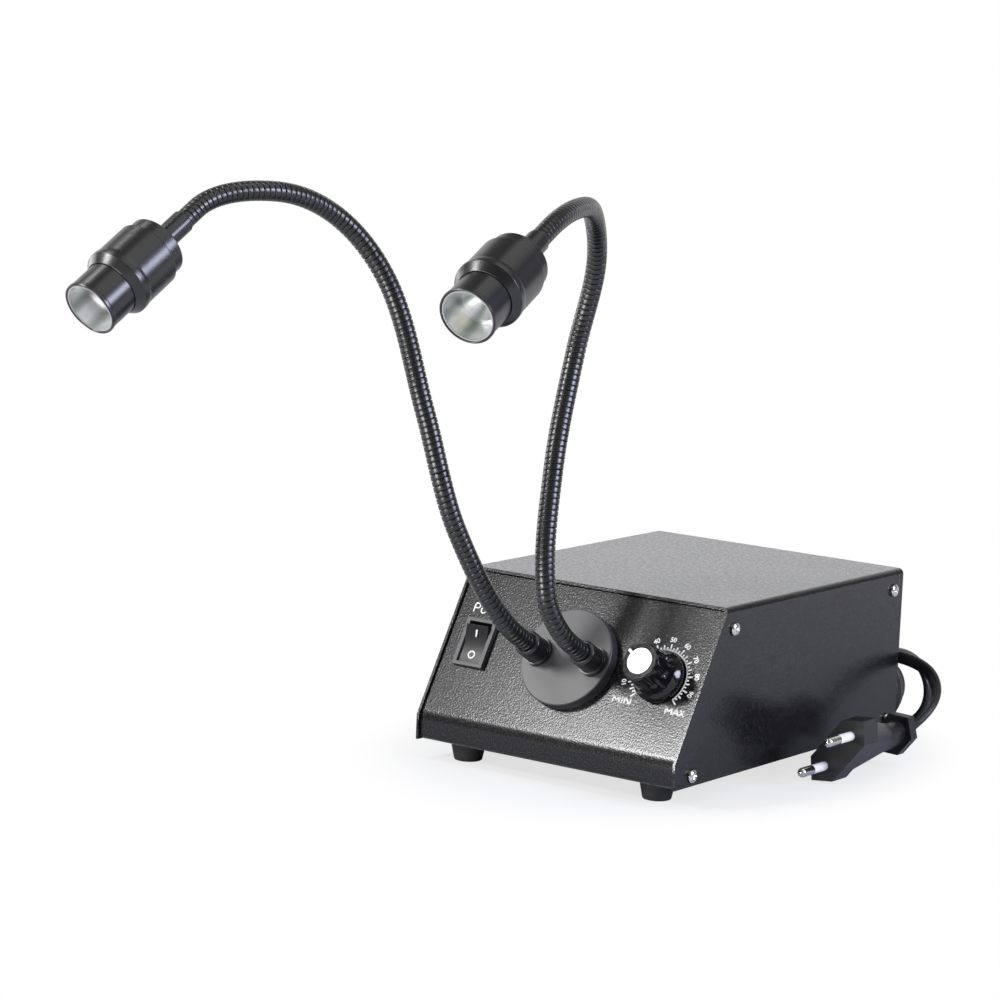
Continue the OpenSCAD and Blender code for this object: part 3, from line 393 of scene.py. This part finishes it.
def slab(outline, low, high, place, points, faces):
    first, n = len(points), len(outline)
    for z in (low, high):
        points.extend(place @ Vector((x, y, z)) for x, y in outline)
    faces.append(tuple(first + k for k in reversed(range(n))))
    faces.append(tuple(first + n + k for k in range(n)))
    band(first, n, faces)


def bar(x0, y0, x1, y1, wide):
    along = Vector((x1 - x0, y1 - y0)).normalized() * wide / 2
    side = Vector((-along.y, along.x))
    return [(x0 - side.x, y0 - side.y), (x1 - side.x, y1 - side.y),
            (x1 + side.x, y1 + side.y), (x0 + side.x, y0 + side.y)]


switch_x, rocker_tilt, rocker_pivot, rocker_proud = -48, math.radians(11), 2, 1.2
ink_t = 0.06
line_low, line_high, line_wide = 3.1, 6.1, 0.7
ring_in, ring_out, ring_down, ring_steps = 1.15, 1.75, 4.6, 40
rocker_place = (on_panel(switch_x) @ Matrix.Translation((0, 0, -rocker_pivot))
                @ Matrix.Rotation(rocker_tilt, 4, "X") @ Matrix.Translation((0, 0, rocker_pivot)))
upper_half, lower_half = (
    rocker_place @ Matrix.Translation((0, 0, rocker_proud)) @ Matrix.Rotation(tilt, 4, "X")
    for tilt in (rocker_tilt, -rocker_tilt)
)
mark_points, mark_faces = [], []
slab(bar(0, line_low, 0, line_high, line_wide), -ink_t, ink_t, upper_half, mark_points, mark_faces)
for k in range(ring_steps):
    a, b = (2 * math.pi * q / ring_steps for q in (k, k + 1))
    ring_part = [(r * math.cos(q), r * math.sin(q) - ring_down)
                 for r, q in ((ring_in, a), (ring_out, a), (ring_out, b), (ring_in, b))]
    slab(ring_part, -ink_t, ink_t, lower_half, mark_points, mark_faces)
new_piece("rocker_marks", mark_points, mark_faces, ink, "rocker")


# Arm disc and ferrules: a thick turned aluminium disc on the panel takes two turned ferrules, each
# pulled down by a nut behind the panel. All are anodised black after turning.
# Black anodised aluminium, turned: a satin near-black with fine marks from the tool.
anodised, anodised_shader, anodised_at = finish("aluminium_black_anodised_turned", "#101011", 0.0, 0.3,
                                                IOR=1.6)
anodised_marks = add(anodised, "TexNoise", Vector=anodised_at, Scale=1 / 0.0007, Detail=4.0, Roughness=0.6)
anodised_rough = add(anodised, "MapRange", Value=anodised_marks.outputs["Fac"], To_Min=0.25, To_Max=0.33)
anodised_tint = add(anodised, "MixRGB", Fac=anodised_marks.outputs["Fac"],
                    Color1=srgb("#070708"), Color2=srgb("#0e0e10"))
anodised_bump = add(anodised, "Bump", Height=anodised_marks.outputs["Fac"], Strength=0.15, Distance=0.00001)
join(anodised, anodised_rough.outputs[0], anodised_shader, "Roughness")
join(anodised, anodised_tint.outputs[0], anodised_shader, "Base Color")
join(anodised, anodised_bump.outputs[0], anodised_shader, "Normal")
dress(["arm_ferrules"], anodised, 0.2)

# The same, blasted matt before anodising: it spreads a lamp into an even grey.
blasted, blasted_shader, blasted_at = finish("aluminium_black_anodised_blasted", "#313133", 0.0, 0.45,
                                             IOR=1.62)
blasted_grain = add(blasted, "TexNoise", Vector=blasted_at, Scale=1 / 0.0003, Detail=2.0)
blasted_rough = add(blasted, "MapRange", Value=blasted_grain.outputs["Fac"], To_Min=0.40, To_Max=0.5)
blasted_bump = add(blasted, "Bump", Height=blasted_grain.outputs["Fac"], Strength=0.3, Distance=0.00001)
join(blasted, blasted_rough.outputs[0], blasted_shader, "Roughness")
join(blasted, blasted_bump.outputs[0], blasted_shader, "Normal")
dress(["arm_disc"], blasted, 0.25)


# Goosenecks: hoses of steel strip wound round a steel spring, stoved black, that hold the bend they
# are given. Each is seated in its ferrule and slipped over the spigot of its lamp head.
hose_r, hose_groove, strip_pitch, hose_seat = 4.0, 0.5, 2.35, 5.0
disc_t, ferrule_high, hose_straight, spigot_over = 5.2, 10.5, 8, 3
arm_rise, route_steps, hose_steps = 180, 24, 28
arm_routes = {
    "left": (-13.5, [(-12, -33, 0.258), (-26, -39, 0.52), (-44, -41, 0.786), (-58, -56, 0.933),
                     (-67, -86, 0.997)],
             (-79, -126, 0.937), math.radians(33), math.radians(-3.5)),
    "right": (13.5, [(-4, -20, 0.139), (-11, -9, 0.41), (-16, 10, 0.662), (-9, 11, 0.842),
                     (0, -4, 0.956), (11, -28, 0.997)],
              (21, -71, 0.94), math.radians(25.5), math.radians(7.5)),
}
bend_share = {"low": 0.16, "mid": 0.48, "top": 0.82}
# The skin of a hose is in three lengths, cut at these shares of it, and the last turn of the lower
# two is tucked under the first turn of the next.
skin_start, skin_cuts, skin_past, skin_tuck = 0.6, (0.32, 0.65), 1.5, 0.2


def smooth_line(places, start, stop, steps):
    line = []
    for i in range(len(places) - 1):
        a, b = places[i], places[i + 1]
        span = (b - a).length
        ta = span * (start if i == 0 else (b - places[i - 1]).normalized())
        tb = span * (stop if i == len(places) - 2 else (places[i + 2] - a).normalized())
        for k in range(steps):
            q = k / steps
            line.append((2 * q**3 - 3 * q**2 + 1) * a + (q**3 - 2 * q**2 + q) * ta
                        + (3 * q**2 - 2 * q**3) * b + (q**3 - q**2) * tb)
    return line + [places[-1]]


def measured(line):
    far = [0.0]
    for a, b in zip(line, line[1:]):
        far.append(far[-1] + (b - a).length)
    return far


def along(line, far, s):
    s = min(max(s, 0), far[-1])
    low, high = 0, len(far) - 1
    while high - low > 1:
        mid = (low + high) // 2
        low, high = (mid, high) if far[mid] <= s else (low, mid)
    return line[low].lerp(line[high], (s - far[low]) / (far[high] - far[low]))


def heading(line, far, s):
    return (along(line, far, s + 1) - along(line, far, s - 1)).normalized()


# Steel strip, stoved black: a glossy black that mirrors a lamp in a row of sparks down the ribs.
strip, strip_shader, strip_at = finish("steel_strip_stoved_black", "#0c0c0d", 0.0, 0.2, IOR=1.6)
strip_wear = add(strip, "TexNoise", Vector=strip_at, Scale=1 / 0.003, Detail=4.0)
strip_rough = add(strip, "MapRange", Value=strip_wear.outputs["Fac"], To_Min=0.25, To_Max=0.35)
strip_tint = add(strip, "MixRGB", Fac=strip_wear.outputs["Fac"],
                 Color1=srgb("#09090a"), Color2=srgb("#121213"))
strip_skin = add(strip, "TexNoise", Vector=strip_at, Scale=1 / 0.0004, Detail=2.0)
strip_bump = add(strip, "Bump", Height=strip_skin.outputs["Fac"], Strength=0.15, Distance=0.00001)
join(strip, strip_rough.outputs[0], strip_shader, "Roughness")
join(strip, strip_tint.outputs[0], strip_shader, "Base Color")
join(strip, strip_bump.outputs[0], strip_shader, "Normal")

# One turn of the strip: how far along it, and the share of the groove's depth there.
rib_shape = [(0.0, 1.0), (0.05, 0.9), (0.075, 0.25), (0.11, 0.05), (0.17, 0.01), (0.5, 0.0),
             (0.83, 0.01), (0.89, 0.05), (0.925, 0.25), (0.95, 0.9)]
x_way, y_way, z_way = Vector((1, 0, 0)), Vector((0, 1, 0)), Vector((0, 0, 1))
head_place = {}
for hand, (arm_x, via, stop_at, dip, yaw) in arm_routes.items():
    top = panel_foot + Vector((arm_x, 0, 0)) + row_up * panel_up + (disc_t + ferrule_high) * panel_out
    aim = Vector((math.sin(yaw) * math.cos(dip), -math.cos(yaw) * math.cos(dip), -math.sin(dip)))
    end = top + Vector((stop_at[0], stop_at[1], stop_at[2] * arm_rise))
    head_place[hand] = (end, aim)
    bent = ([top + hose_straight * panel_out]
            + [top + Vector((x, y, z * arm_rise)) for x, y, z in via] + [end - hose_straight * aim])
    line = ([top - hose_seat * panel_out] + smooth_line(bent, panel_out, aim, route_steps)
            + [end, end + spigot_over * aim])
    far = measured(line)
    whole = far[-1] - spigot_over
    edges = [skin_start] + [whole * cut for cut in skin_cuts] + [whole + skin_past]
    kept = [("_hose_base", "_bend_low"), ("_hose_lower", "_bend_mid"),
            ("_hose_upper", "_bend_top", "_hose_end")]
    pitch = whole / round(whole / strip_pitch)
    for i, bend in enumerate(bend_share):
        first, last = (round(e / pitch) for e in edges[i:i + 2])
        points, faces = [], []
        for t in range(first, last + 1):
            tucked = skin_tuck if t == last and bend != "top" else 0
            for share, depth in rib_shape:
                r = hose_r - hose_groove * depth - tucked
                for k in range(hose_steps):
                    s = (t + share + k / hose_steps) * pitch
                    ahead = heading(line, far, s)
                    across = (x_way - x_way.dot(ahead) * ahead).normalized()
                    a = 2 * math.pi * k / hose_steps
                    points.append(along(line, far, s)
                                  + r * (math.cos(a) * across + math.sin(a) * ahead.cross(across)))
        for q in range(len(points) // hose_steps - 1):
            for k in range(hose_steps):
                a = q * hose_steps + k
                b = a + 1 if k + 1 < hose_steps else (q + len(rib_shape)) * hose_steps
                if b + hose_steps < len(points):
                    faces.append((a, b, b + hose_steps, a + hose_steps))
        skin = new_piece(f"{hand}_gooseneck_{bend}", points, faces, strip, None)
        spot = along(line, far, bend_share[bend] * whole)
        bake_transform(skin)
        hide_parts(*(hand + k for k in kept[i]))


# Lamp heads: neck, rear cap, barrel and snout, all turned from aluminium bar, screwed together and
# anodised black. The bright cup inside is spun, and a lamp board sits at the bottom of it.
streak_scale, lip_from, lip_to, dot_r, dot_edge = 1.6, 0.0004, 0.0002, 0.0024, 0.0026
for hand, (end, aim) in head_place.items():
    dress([hand + k for k in ("_neck", "_rear_cap", "_barrel", "_snout")], anodised, 0.2)

    # Bright dipped aluminium, spun: a white metal that draws a lamp out into streaks down the cup,
    # dull on the cut lip. Grey and white streaks round the cup are also painted into its colour as painted
    # reflections.
    spun, spun_shader, spun_at = finish("aluminium_spun_bright_" + hand, "#e6e7e8", 0.7, 0.3)
    across = aim.cross(z_way).normalized()
    from_axis = add(spun, "VectorMath", operation="SUBTRACT", _0=spun_at, _1=end / 1000)
    sides = [add(spun, "VectorMath", operation="DOT_PRODUCT", _0=from_axis.outputs[0], _1=way)
             for way in (across, aim.cross(across))]
    around = add(spun, "Math", operation="ARCTAN2",
                 _0=sides[0].outputs["Value"], _1=sides[1].outputs["Value"])
    streak_at = add(spun, "CombineXYZ", X=around.outputs[0])
    streaks = add(spun, "TexNoise", Vector=streak_at.outputs[0], Scale=streak_scale, Detail=0.0)
    # Grey and white streaks in the colour round the axis: painted reflections of the room and lamps.
    painted_reflection_share = add(spun, "MapRange", Value=streaks.outputs["Fac"], From_Min=0.36, From_Max=0.62)
    streak_tint_painted_reflection = add(spun, "MixRGB", Fac=painted_reflection_share.outputs[0],
                      Color1=srgb("#a6aca8"), Color2=srgb("#ffffff"))
    streak_rough = add(spun, "MapRange", Value=streaks.outputs["Fac"], To_Min=0.4, To_Max=0.26)
    lip = max((v.co - end / 1000).dot(aim) for v in nodes[hand + "_reflector"].data.vertices)
    from_lip = add(spun, "VectorMath", operation="DOT_PRODUCT", _0=from_axis.outputs[0], _1=aim)
    lip_share = add(spun, "MapRange", Value=from_lip.outputs["Value"],
                    From_Min=lip - lip_from, From_Max=lip - lip_to)
    lip_tint = add(spun, "MixRGB", Fac=lip_share.outputs[0],
                   Color1=streak_tint_painted_reflection.outputs[0], Color2=srgb("#b4b6b5"))
    join(spun, lip_tint.outputs[0], spun_shader, "Base Color")
    join(spun, streak_rough.outputs[0], spun_shader, "Roughness")
    dress([hand + "_reflector"], spun, 0)

    # Phosphor resin: a warm, slightly waxy dot in the middle of the board; round it the board is near black,
    # as painted shade of the deep cup.
    phosphor, phosphor_shader, phosphor_at = finish("phosphor_resin_on_black_lacquer_" + hand, "#e4dcb4",
                                                    0.0, 0.3)
    dot_out = add(phosphor, "VectorMath", operation="SUBTRACT", _0=phosphor_at, _1=end / 1000)
    dot_turn = add(phosphor, "VectorMath", operation="CROSS_PRODUCT", _0=dot_out.outputs[0], _1=aim)
    dot_away = add(phosphor, "VectorMath", operation="LENGTH", _0=dot_turn.outputs[0])
    # Near black round the dot: painted shade of the deep cup.
    painted_shade_share = add(phosphor, "MapRange", Value=dot_away.outputs["Value"],
                        From_Min=dot_r, From_Max=dot_edge)
    phosphor_grain = add(phosphor, "TexNoise", Vector=phosphor_at, Scale=1 / 0.0008)
    phosphor_tint = add(phosphor, "MixRGB", Fac=phosphor_grain.outputs["Fac"],
                        Color1=srgb("#d8c983"), Color2=srgb("#efe3b0"))
    painted_shade_tint = add(phosphor, "MixRGB", Fac=painted_shade_share.outputs[0],
                       Color1=phosphor_tint.outputs[0], Color2=srgb("#0d0d0e"))
    join(phosphor, painted_shade_tint.outputs[0], phosphor_shader, "Base Color")
    dress([hand + "_led"], phosphor, 0.1)


# Dimmer: a rotary control behind the panel, held by a nut, with a moulded fluted knob pushed on
# its shaft. A bright cap is pressed into the knob, and the scale round it is printed on the panel.
# Moulded ABS, polished mould: deep gloss black that mirrors the lamps.
gloss, gloss_shader, gloss_at = finish("abs_moulded_gloss_black", "#0c0c0d", 0.0, 0.12)
gloss_film = add(gloss, "TexNoise", Vector=gloss_at, Scale=1 / 0.002, Detail=3.0)
gloss_rough = add(gloss, "MapRange", Value=gloss_film.outputs["Fac"], To_Min=0.08, To_Max=0.2)
join(gloss, gloss_rough.outputs[0], gloss_shader, "Roughness")
dress(["dimmer_knob"], gloss, 0.3)

# Spun aluminium cap: white metal with fine marks, which here catches the lamp.
cap_metal, cap_shader, cap_at = finish("aluminium_spun_cap", "#dcdcdc", 1.0, 0.4)
cap_marks = add(cap_metal, "TexNoise", Vector=cap_at, Scale=1 / 0.0008, Detail=3.0)
cap_rough = add(cap_metal, "MapRange", Value=cap_marks.outputs["Fac"], To_Min=0.34, To_Max=0.46)
join(cap_metal, cap_rough.outputs[0], cap_shader, "Roughness")
dress(["knob_cap"], cap_metal, 0.15)

# Phenolic body of the dimmer: brownish green and dull.
phenolic, phenolic_shader, phenolic_at = finish("phenolic_moulded", "#2e4033", 0.0, 0.5)
phenolic_fill = add(phenolic, "TexNoise", Vector=phenolic_at, Scale=1 / 0.001, Detail=4.0)
phenolic_tint = add(phenolic, "MixRGB", Fac=phenolic_fill.outputs["Fac"],
                    Color1=srgb("#27382c"), Color2=srgb("#3a4f40"))
join(phenolic, phenolic_tint.outputs[0], phenolic_shader, "Base Color")
dress(["dimmer_body"], phenolic, 0.3)

knob_x, knob_sweep, knob_rest = 43.2, 265, 0.28
scale_end, scale_ticks = 100, 40
scale_low, scale_step = 90 + knob_sweep / 2, knob_sweep / scale_end
tick_in, tick_wide, tick_tens, tick_fives, tick_halves = 11.9, 0.68, 14.6, 14.0, 13.2
arc_in, arc_out = 11.6, 12.15
number_r, number_high, number_bold = 16.4, 2.9, 0.06
pointer_in, pointer_out, pointer_wide, pointer_low, pointer_high = 5.0, 7.2, 1.2, 18.2, 18.8
scale_points, scale_faces = [], []
dial = on_panel(knob_x)


def round_scale(r, mark):
    a = math.radians(scale_low - scale_step * mark)
    return r * math.cos(a), r * math.sin(a)


for q in range(scale_ticks + 1):
    mark = scale_end / scale_ticks * q
    tick_out = tick_tens if mark % 10 == 0 else tick_fives if mark % 5 == 0 else tick_halves
    tick = bar(*round_scale(tick_in, mark), *round_scale(tick_out, mark), tick_wide)
    slab(tick, 0, ink_t, dial, scale_points, scale_faces)
for q in range(scale_end):
    arc_part = [round_scale(arc_in, q), round_scale(arc_out, q),
                round_scale(arc_out, q + 1), round_scale(arc_in, q + 1)]
    slab(arc_part, 0, ink_t, dial, scale_points, scale_faces)
new_piece("dial_scale", scale_points, scale_faces, ink, "case")


def printed(name, words, tall, place):
    text = bpy.data.curves.new(name, "FONT")
    text.body, text.size, text.extrude = words, tall / 1000, ink_t / 2 / 1000
    text.align_x, text.align_y, text.offset = "CENTER", "CENTER", number_bold / 1000
    shape = bpy.data.objects.new(name, text)
    mesh = bpy.data.meshes.new_from_object(shape)
    bpy.data.objects.remove(shape)
    mesh.transform(Matrix.Translation(place.translation / 1000) @ place.to_3x3().to_4x4())
    mesh.materials.append(ink)
    print_piece = bpy.data.objects.new(name, mesh)
    bpy.context.scene.collection.objects.link(print_piece)
    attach(print_piece, "case")


for mark in range(10, scale_end, 10):
    x, y = round_scale(number_r, mark)
    spin = math.radians(scale_low - scale_step * mark - 90)
    printed(f"dial_number_{mark}", str(mark), number_high,
            dial @ Matrix.Translation((x, y, ink_t / 2)) @ Matrix.Rotation(spin, 4, "Z"))

# The strokes of each letter, in shares of its width and of a capital's height.
letter_lines = {
    "M": [[(0, 0), (0, 1), (0.5, 0.35), (1, 1), (1, 0)]],
    "I": [[(0, 0), (0, 1)]],
    "N": [[(0, 0), (0, 1), (1, 0), (1, 1)]],
    "A": [[(0, 0), (0.5, 1), (1, 0)], [(0.18, 0.32), (0.82, 0.32)]],
    "X": [[(0, 0), (1, 1)], [(0, 1), (1, 0)]],
    "P": [[(0, 0), (0, 1), (0.7, 1), (1, 0.88), (1, 0.6), (0.7, 0.48), (0, 0.48)]],
    "o": [[(0.3, 0), (0.7, 0), (1, 0.2), (1, 0.5), (0.7, 0.7), (0.3, 0.7), (0, 0.5), (0, 0.2), (0.3, 0)]],
    "w": [[(0, 0.7), (0.25, 0), (0.5, 0.6), (0.75, 0), (1, 0.7)]],
    "e": [[(0, 0.36), (1, 0.36), (1, 0.5), (0.7, 0.7), (0.3, 0.7), (0, 0.5), (0, 0.2), (0.3, 0), (0.9, 0)]],
    "r": [[(0, 0), (0, 0.7)], [(0, 0.42), (0.5, 0.7), (1, 0.7)]],
}


def lettered(name, x, up, tall, wide, letters):
    points, faces = [], []
    for letter, start, across in letters:
        for line in letter_lines[letter]:
            drawn = [(start + across * a, tall * b) for a, b in line]
            for (x0, y0), (x1, y1) in zip(drawn, drawn[1:]):
                slab(bar(x0, y0, x1, y1, wide), 0, ink_t, on_panel(x, up), points, faces)
    new_piece(name, points, faces, ink, "case")


lettered("dial_low_end", x=25, up=21.2, tall=2.8, wide=0.7,
         letters=[("M", 0, 3.1), ("I", 4.3, 0), ("N", 5.5, 2.8)])
lettered("dial_high_end", x=50.5, up=20.3, tall=2.8, wide=0.7,
         letters=[("M", 0, 2.9), ("A", 3.6, 2.7), ("X", 6.6, 2.3)])
lettered("switch_legend", x=-55.5, up=48.1, tall=3.9, wide=0.55,
         letters=[("P", 0, 2.5), ("o", 3.7, 2.4), ("w", 7.1, 3.4), ("e", 11.5, 2.4), ("r", 15, 1.3)])

pointer_place = dial @ Matrix.Rotation(math.radians(90 + knob_sweep * (0.5 - knob_rest)), 4, "Z")
pointer_points, pointer_faces = [], []
slab(bar(pointer_in, 0, pointer_out, 0, pointer_wide), pointer_low, pointer_high, pointer_place,
     pointer_points, pointer_faces)
new_piece("knob_pointer", pointer_points, pointer_faces, ink, "knob")


# Supply inside the case: a glass fibre board on four stand-offs with a taped transformer on it.
# None of it shows, so its finishes are plain.
# Lacquered glass fibre: green, with the weave showing through.
board, board_shader, board_at = finish("glass_fibre_board_lacquered", "#1f5a34", 0.0, 0.35)
board_weave = add(board, "TexWave", Vector=board_at, Scale=1 / 0.003)
board_tint = add(board, "MixRGB", Fac=board_weave.outputs["Fac"],
                 Color1=srgb("#1b5230"), Color2=srgb("#2a6b41"))
join(board, board_tint.outputs[0], board_shader, "Base Color")
dress(["power_board"], board, 0.1)

# Polyester tape: shiny yellow, darker where it laps over itself.
tape, tape_shader, tape_at = finish("polyester_tape_yellow", "#c9a927", 0.0, 0.25)
tape_laps = add(tape, "TexWave", Vector=tape_at, Scale=1 / 0.02, bands_direction="Z")
tape_tint = add(tape, "MixRGB", Fac=tape_laps.outputs["Fac"],
                Color1=srgb("#b99a22"), Color2=srgb("#d6b838"))
join(tape, tape_tint.outputs[0], tape_shader, "Base Color")
dress(["power_transformer"], tape, 0.8)


# Mains lead: a metre and a half of flat twin lead from the gland in the back, folded into a hank
# behind the case and tied, with a moulded two-pin plug lying beside the case.
# Soft PVC: dark grey black, satin, slightly waxy, with a skin that is faintly uneven.
pvc, pvc_shader, pvc_at = finish("pvc_soft_satin", "#1b1b1c", 0.0, 0.38)
pvc_skin = add(pvc, "TexNoise", Vector=pvc_at, Scale=1 / 0.002, Detail=3.0)
pvc_tint = add(pvc, "MixRGB", Fac=pvc_skin.outputs["Fac"], Color1=srgb("#141415"), Color2=srgb("#232325"))
pvc_rough = add(pvc, "MapRange", Value=pvc_skin.outputs["Fac"], To_Min=0.3, To_Max=0.46)
pvc_bump = add(pvc, "Bump", Height=pvc_skin.outputs["Fac"], Strength=0.3, Distance=0.00003)
join(pvc, pvc_tint.outputs[0], pvc_shader, "Base Color")
join(pvc, pvc_rough.outputs[0], pvc_shader, "Roughness")
join(pvc, pvc_bump.outputs[0], pvc_shader, "Normal")
dress(["cord_gland"], pvc, 0.3)

# The hank has four layers of one and a half turns, each spiralling in or out between its two radii.
lead_wide, lead_thick, lead_round, lead_steps = 5.4, 3.2, 4.4, 8
gland_end, plug_face, plug_length = Vector((-50, 105.5, 28)), Vector((86, 1, 14.244)), 54
hank_x, hank_z, hank_run, hank_r, hank_in, first_out = 8.8, 19.7, 68.0, 17.0, 9.35, 9.0
hank_far, hank_layers, layer_pitch, layer_turns, climb = 107.9, 4, 5.8, 1.5, 0.26
hank_turns, turn_steps = round(hank_layers * layer_turns), 110
hank_mid = (hank_r + hank_in) / 2
hank_lap = 2 * hank_run + 2 * math.pi * hank_mid


def eased(q):
    q = min(max(q, 0), 1)
    return q * q * (3 - 2 * q)


def hank_at(u):
    r = hank_in + (hank_r - hank_in) * abs((u / layer_turns) % 2 - 1)
    climbs = sum(eased((u - k * layer_turns) / climb + 0.5) for k in range(1, hank_layers))
    q, a, arc = (u % 1) * hank_lap, hank_run / 2, math.pi * hank_mid
    if q < a:
        x, z = q, r
    elif q < a + arc:
        x, z = a + r * math.sin((q - a) / hank_mid), r * math.cos((q - a) / hank_mid)
    elif q < 3 * a + arc:
        x, z = 2 * a + arc - q, -r
    elif q < 3 * a + 2 * arc:
        x, z = -a - r * math.sin((q - 3 * a - arc) / hank_mid), -r * math.cos((q - 3 * a - arc) / hank_mid)
    else:
        x, z = q - 4 * a - 2 * arc, r
    out = first_out * eased(2 * x / hank_run) if u < 0.5 else 0
    return Vector((hank_x + x + out, hank_far - layer_pitch * climbs, hank_z + z))


hank_line = [hank_at(q / turn_steps) for q in range(1, hank_turns * turn_steps)]
hank_start = hank_at(0)
hank_stop = Vector((hank_x, hank_far - (hank_layers - 1) * layer_pitch, hank_z + hank_r))
plug_end = plug_face + Vector((0, plug_length, 0))
lead_via = [(-48, 113, 29.5), (-43, 118, 32), (-33, 119.5, 35), (-20, 116.5, 37), (-7, 111.5, 38)]
tail_via = [(44, 90.5, 36.7), (54, 91, 37.3), (63, 91.8, 37), (71, 92, 35.2), (77, 90.8, 32.6),
            (82, 87.3, 29), (85.5, 82, 25.2), (87, 76, 21.5), (86.8, 70, 18), (86.2, 64, 15.4)]
lead_line = smooth_line([gland_end, gland_end + lead_round * y_way] + [Vector(p) for p in lead_via]
                        + [hank_start - lead_round * x_way, hank_start], y_way, x_way, lead_steps)
tail_line = smooth_line([hank_stop, hank_stop + lead_round * x_way] + [Vector(p) for p in tail_via]
                        + [plug_end + lead_round * y_way, plug_end], x_way, -y_way, lead_steps)
cord_line = lead_line + hank_line + tail_line

# Its section is a rounded flat with a waist between the two cores. It leaves the gland on edge, lies
# flat in the hank and turns back on edge on its way to the plug.
cord_steps, cord_square, waist_deep, waist_wide = 24, 0.72, 0.09, 0.22
lead_turn_from, lead_turn_over, tail_turn_over = 0.45, 0.5, 0.3
cord_points, cord_faces = [], []
for i, spot in enumerate(cord_line):
    ahead = (cord_line[min(i + 1, len(cord_line) - 1)] - cord_line[max(i - 1, 0)]).normalized()
    if i < len(lead_line):
        width = z_way.lerp(y_way, eased((i / len(lead_line) - lead_turn_from) / lead_turn_over))
    elif i < len(lead_line) + len(hank_line):
        width = y_way
    else:
        turn = eased((i - len(lead_line) - len(hank_line)) / len(tail_line) / tail_turn_over)
        width = y_way.lerp(z_way, turn) if turn < 1 else width
    width = (width - width.dot(ahead) * ahead).normalized()
    thick = ahead.cross(width)
    for k in range(cord_steps):
        a = 2 * math.pi * k / cord_steps
        c, s = math.cos(a), math.sin(a)
        waist = 1 - waist_deep * math.exp(-(c / waist_wide) ** 2)
        cord_points.append(spot + width * lead_wide / 2 * math.copysign(abs(c) ** cord_square, c)
                           + thick * lead_thick / 2 * waist * math.copysign(abs(s) ** cord_square, s))
for i in range(len(cord_line) - 1):
    band(i * cord_steps, cord_steps, cord_faces)
cord_faces.append(tuple(reversed(range(cord_steps))))
cord_faces.append(tuple((len(cord_line) - 1) * cord_steps + k for k in range(cord_steps)))
mains_lead = new_piece("mains_lead", cord_points, cord_faces, pvc, "case")
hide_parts("cord_lead_in", "cord_hank", "cord_tail")

# The tie is a flat band of the same PVC round the runs of the hank.
tie_x, tie_wide, tie_t = 24.0, 6.0, 0.8
tie_low, tie_high, tie_near, tie_far, tie_round, tie_steps = 0.55, 39.0, 86.9, 111.6, 5.0, 8
tie_loop = []
for cy, cz, a0 in ((tie_far, tie_high, 0), (tie_near, tie_high, 90),
                   (tie_near, tie_low, 180), (tie_far, tie_low, 270)):
    y0 = cy - tie_round if cy == tie_far else cy + tie_round
    z0 = cz - tie_round if cz == tie_high else cz + tie_round
    for k in range(tie_steps + 1):
        a = math.radians(a0 + 90 * k / tie_steps)
        tie_loop.append((y0, z0, math.cos(a), math.sin(a)))
tie_points, tie_faces = [], []
for y0, z0, c, s in tie_loop:
    for r, x in ((tie_round - tie_t / 2, -tie_wide / 2), (tie_round + tie_t / 2, -tie_wide / 2),
                 (tie_round + tie_t / 2, tie_wide / 2), (tie_round - tie_t / 2, tie_wide / 2)):
        tie_points.append(Vector((tie_x + x, y0 + r * c, z0 + r * s)))
for i in range(len(tie_loop)):
    n = (i + 1) % len(tie_loop)
    for k in range(4):
        j = (k + 1) % 4
        tie_faces.append((4 * i + k, 4 * i + j, 4 * n + j, 4 * n + k))
hank_tie = new_piece("hank_tie", tie_points, tie_faces, pvc, "case")
hank_tie.modifiers.new("flat", "WEIGHTED_NORMAL")

# Moulded PVC of the plug: harder and a little darker than the lead.
plug_pvc, plug_shader, plug_at = finish("pvc_hard_moulded", "#19191b", 0.0, 0.36)
plug_skin = add(plug_pvc, "TexNoise", Vector=plug_at, Scale=1 / 0.0006, Detail=3.0)
plug_rough = add(plug_pvc, "MapRange", Value=plug_skin.outputs["Fac"], To_Min=0.28, To_Max=0.46)
plug_tint = add(plug_pvc, "MixRGB", Fac=plug_skin.outputs["Fac"],
                Color1=srgb("#121214"), Color2=srgb("#202022"))
plug_bump = add(plug_pvc, "Bump", Height=plug_skin.outputs["Fac"], Strength=0.4, Distance=0.00002)
join(plug_pvc, plug_rough.outputs[0], plug_shader, "Roughness")
join(plug_pvc, plug_tint.outputs[0], plug_shader, "Base Color")
join(plug_pvc, plug_bump.outputs[0], plug_shader, "Normal")
dress(["plug_body"], plug_pvc, 1.6)
dress(["plug_pins"], nickel, 0.15)

# Moulded polyamide sleeves: plain milky white.
sleeve, sleeve_shader, sleeve_at = finish("polyamide_moulded_white", "#f3f3f0", 0.0, 0.4)
sleeve_skin = add(sleeve, "TexNoise", Vector=sleeve_at, Scale=1 / 0.002, Detail=2.0)
sleeve_tint = add(sleeve, "MixRGB", Fac=sleeve_skin.outputs["Fac"],
                  Color1=srgb("#ecece8"), Color2=srgb("#f8f8f6"))
join(sleeve, sleeve_tint.outputs[0], sleeve_shader, "Base Color")
dress(["pin_sleeves"], sleeve, 0.15)
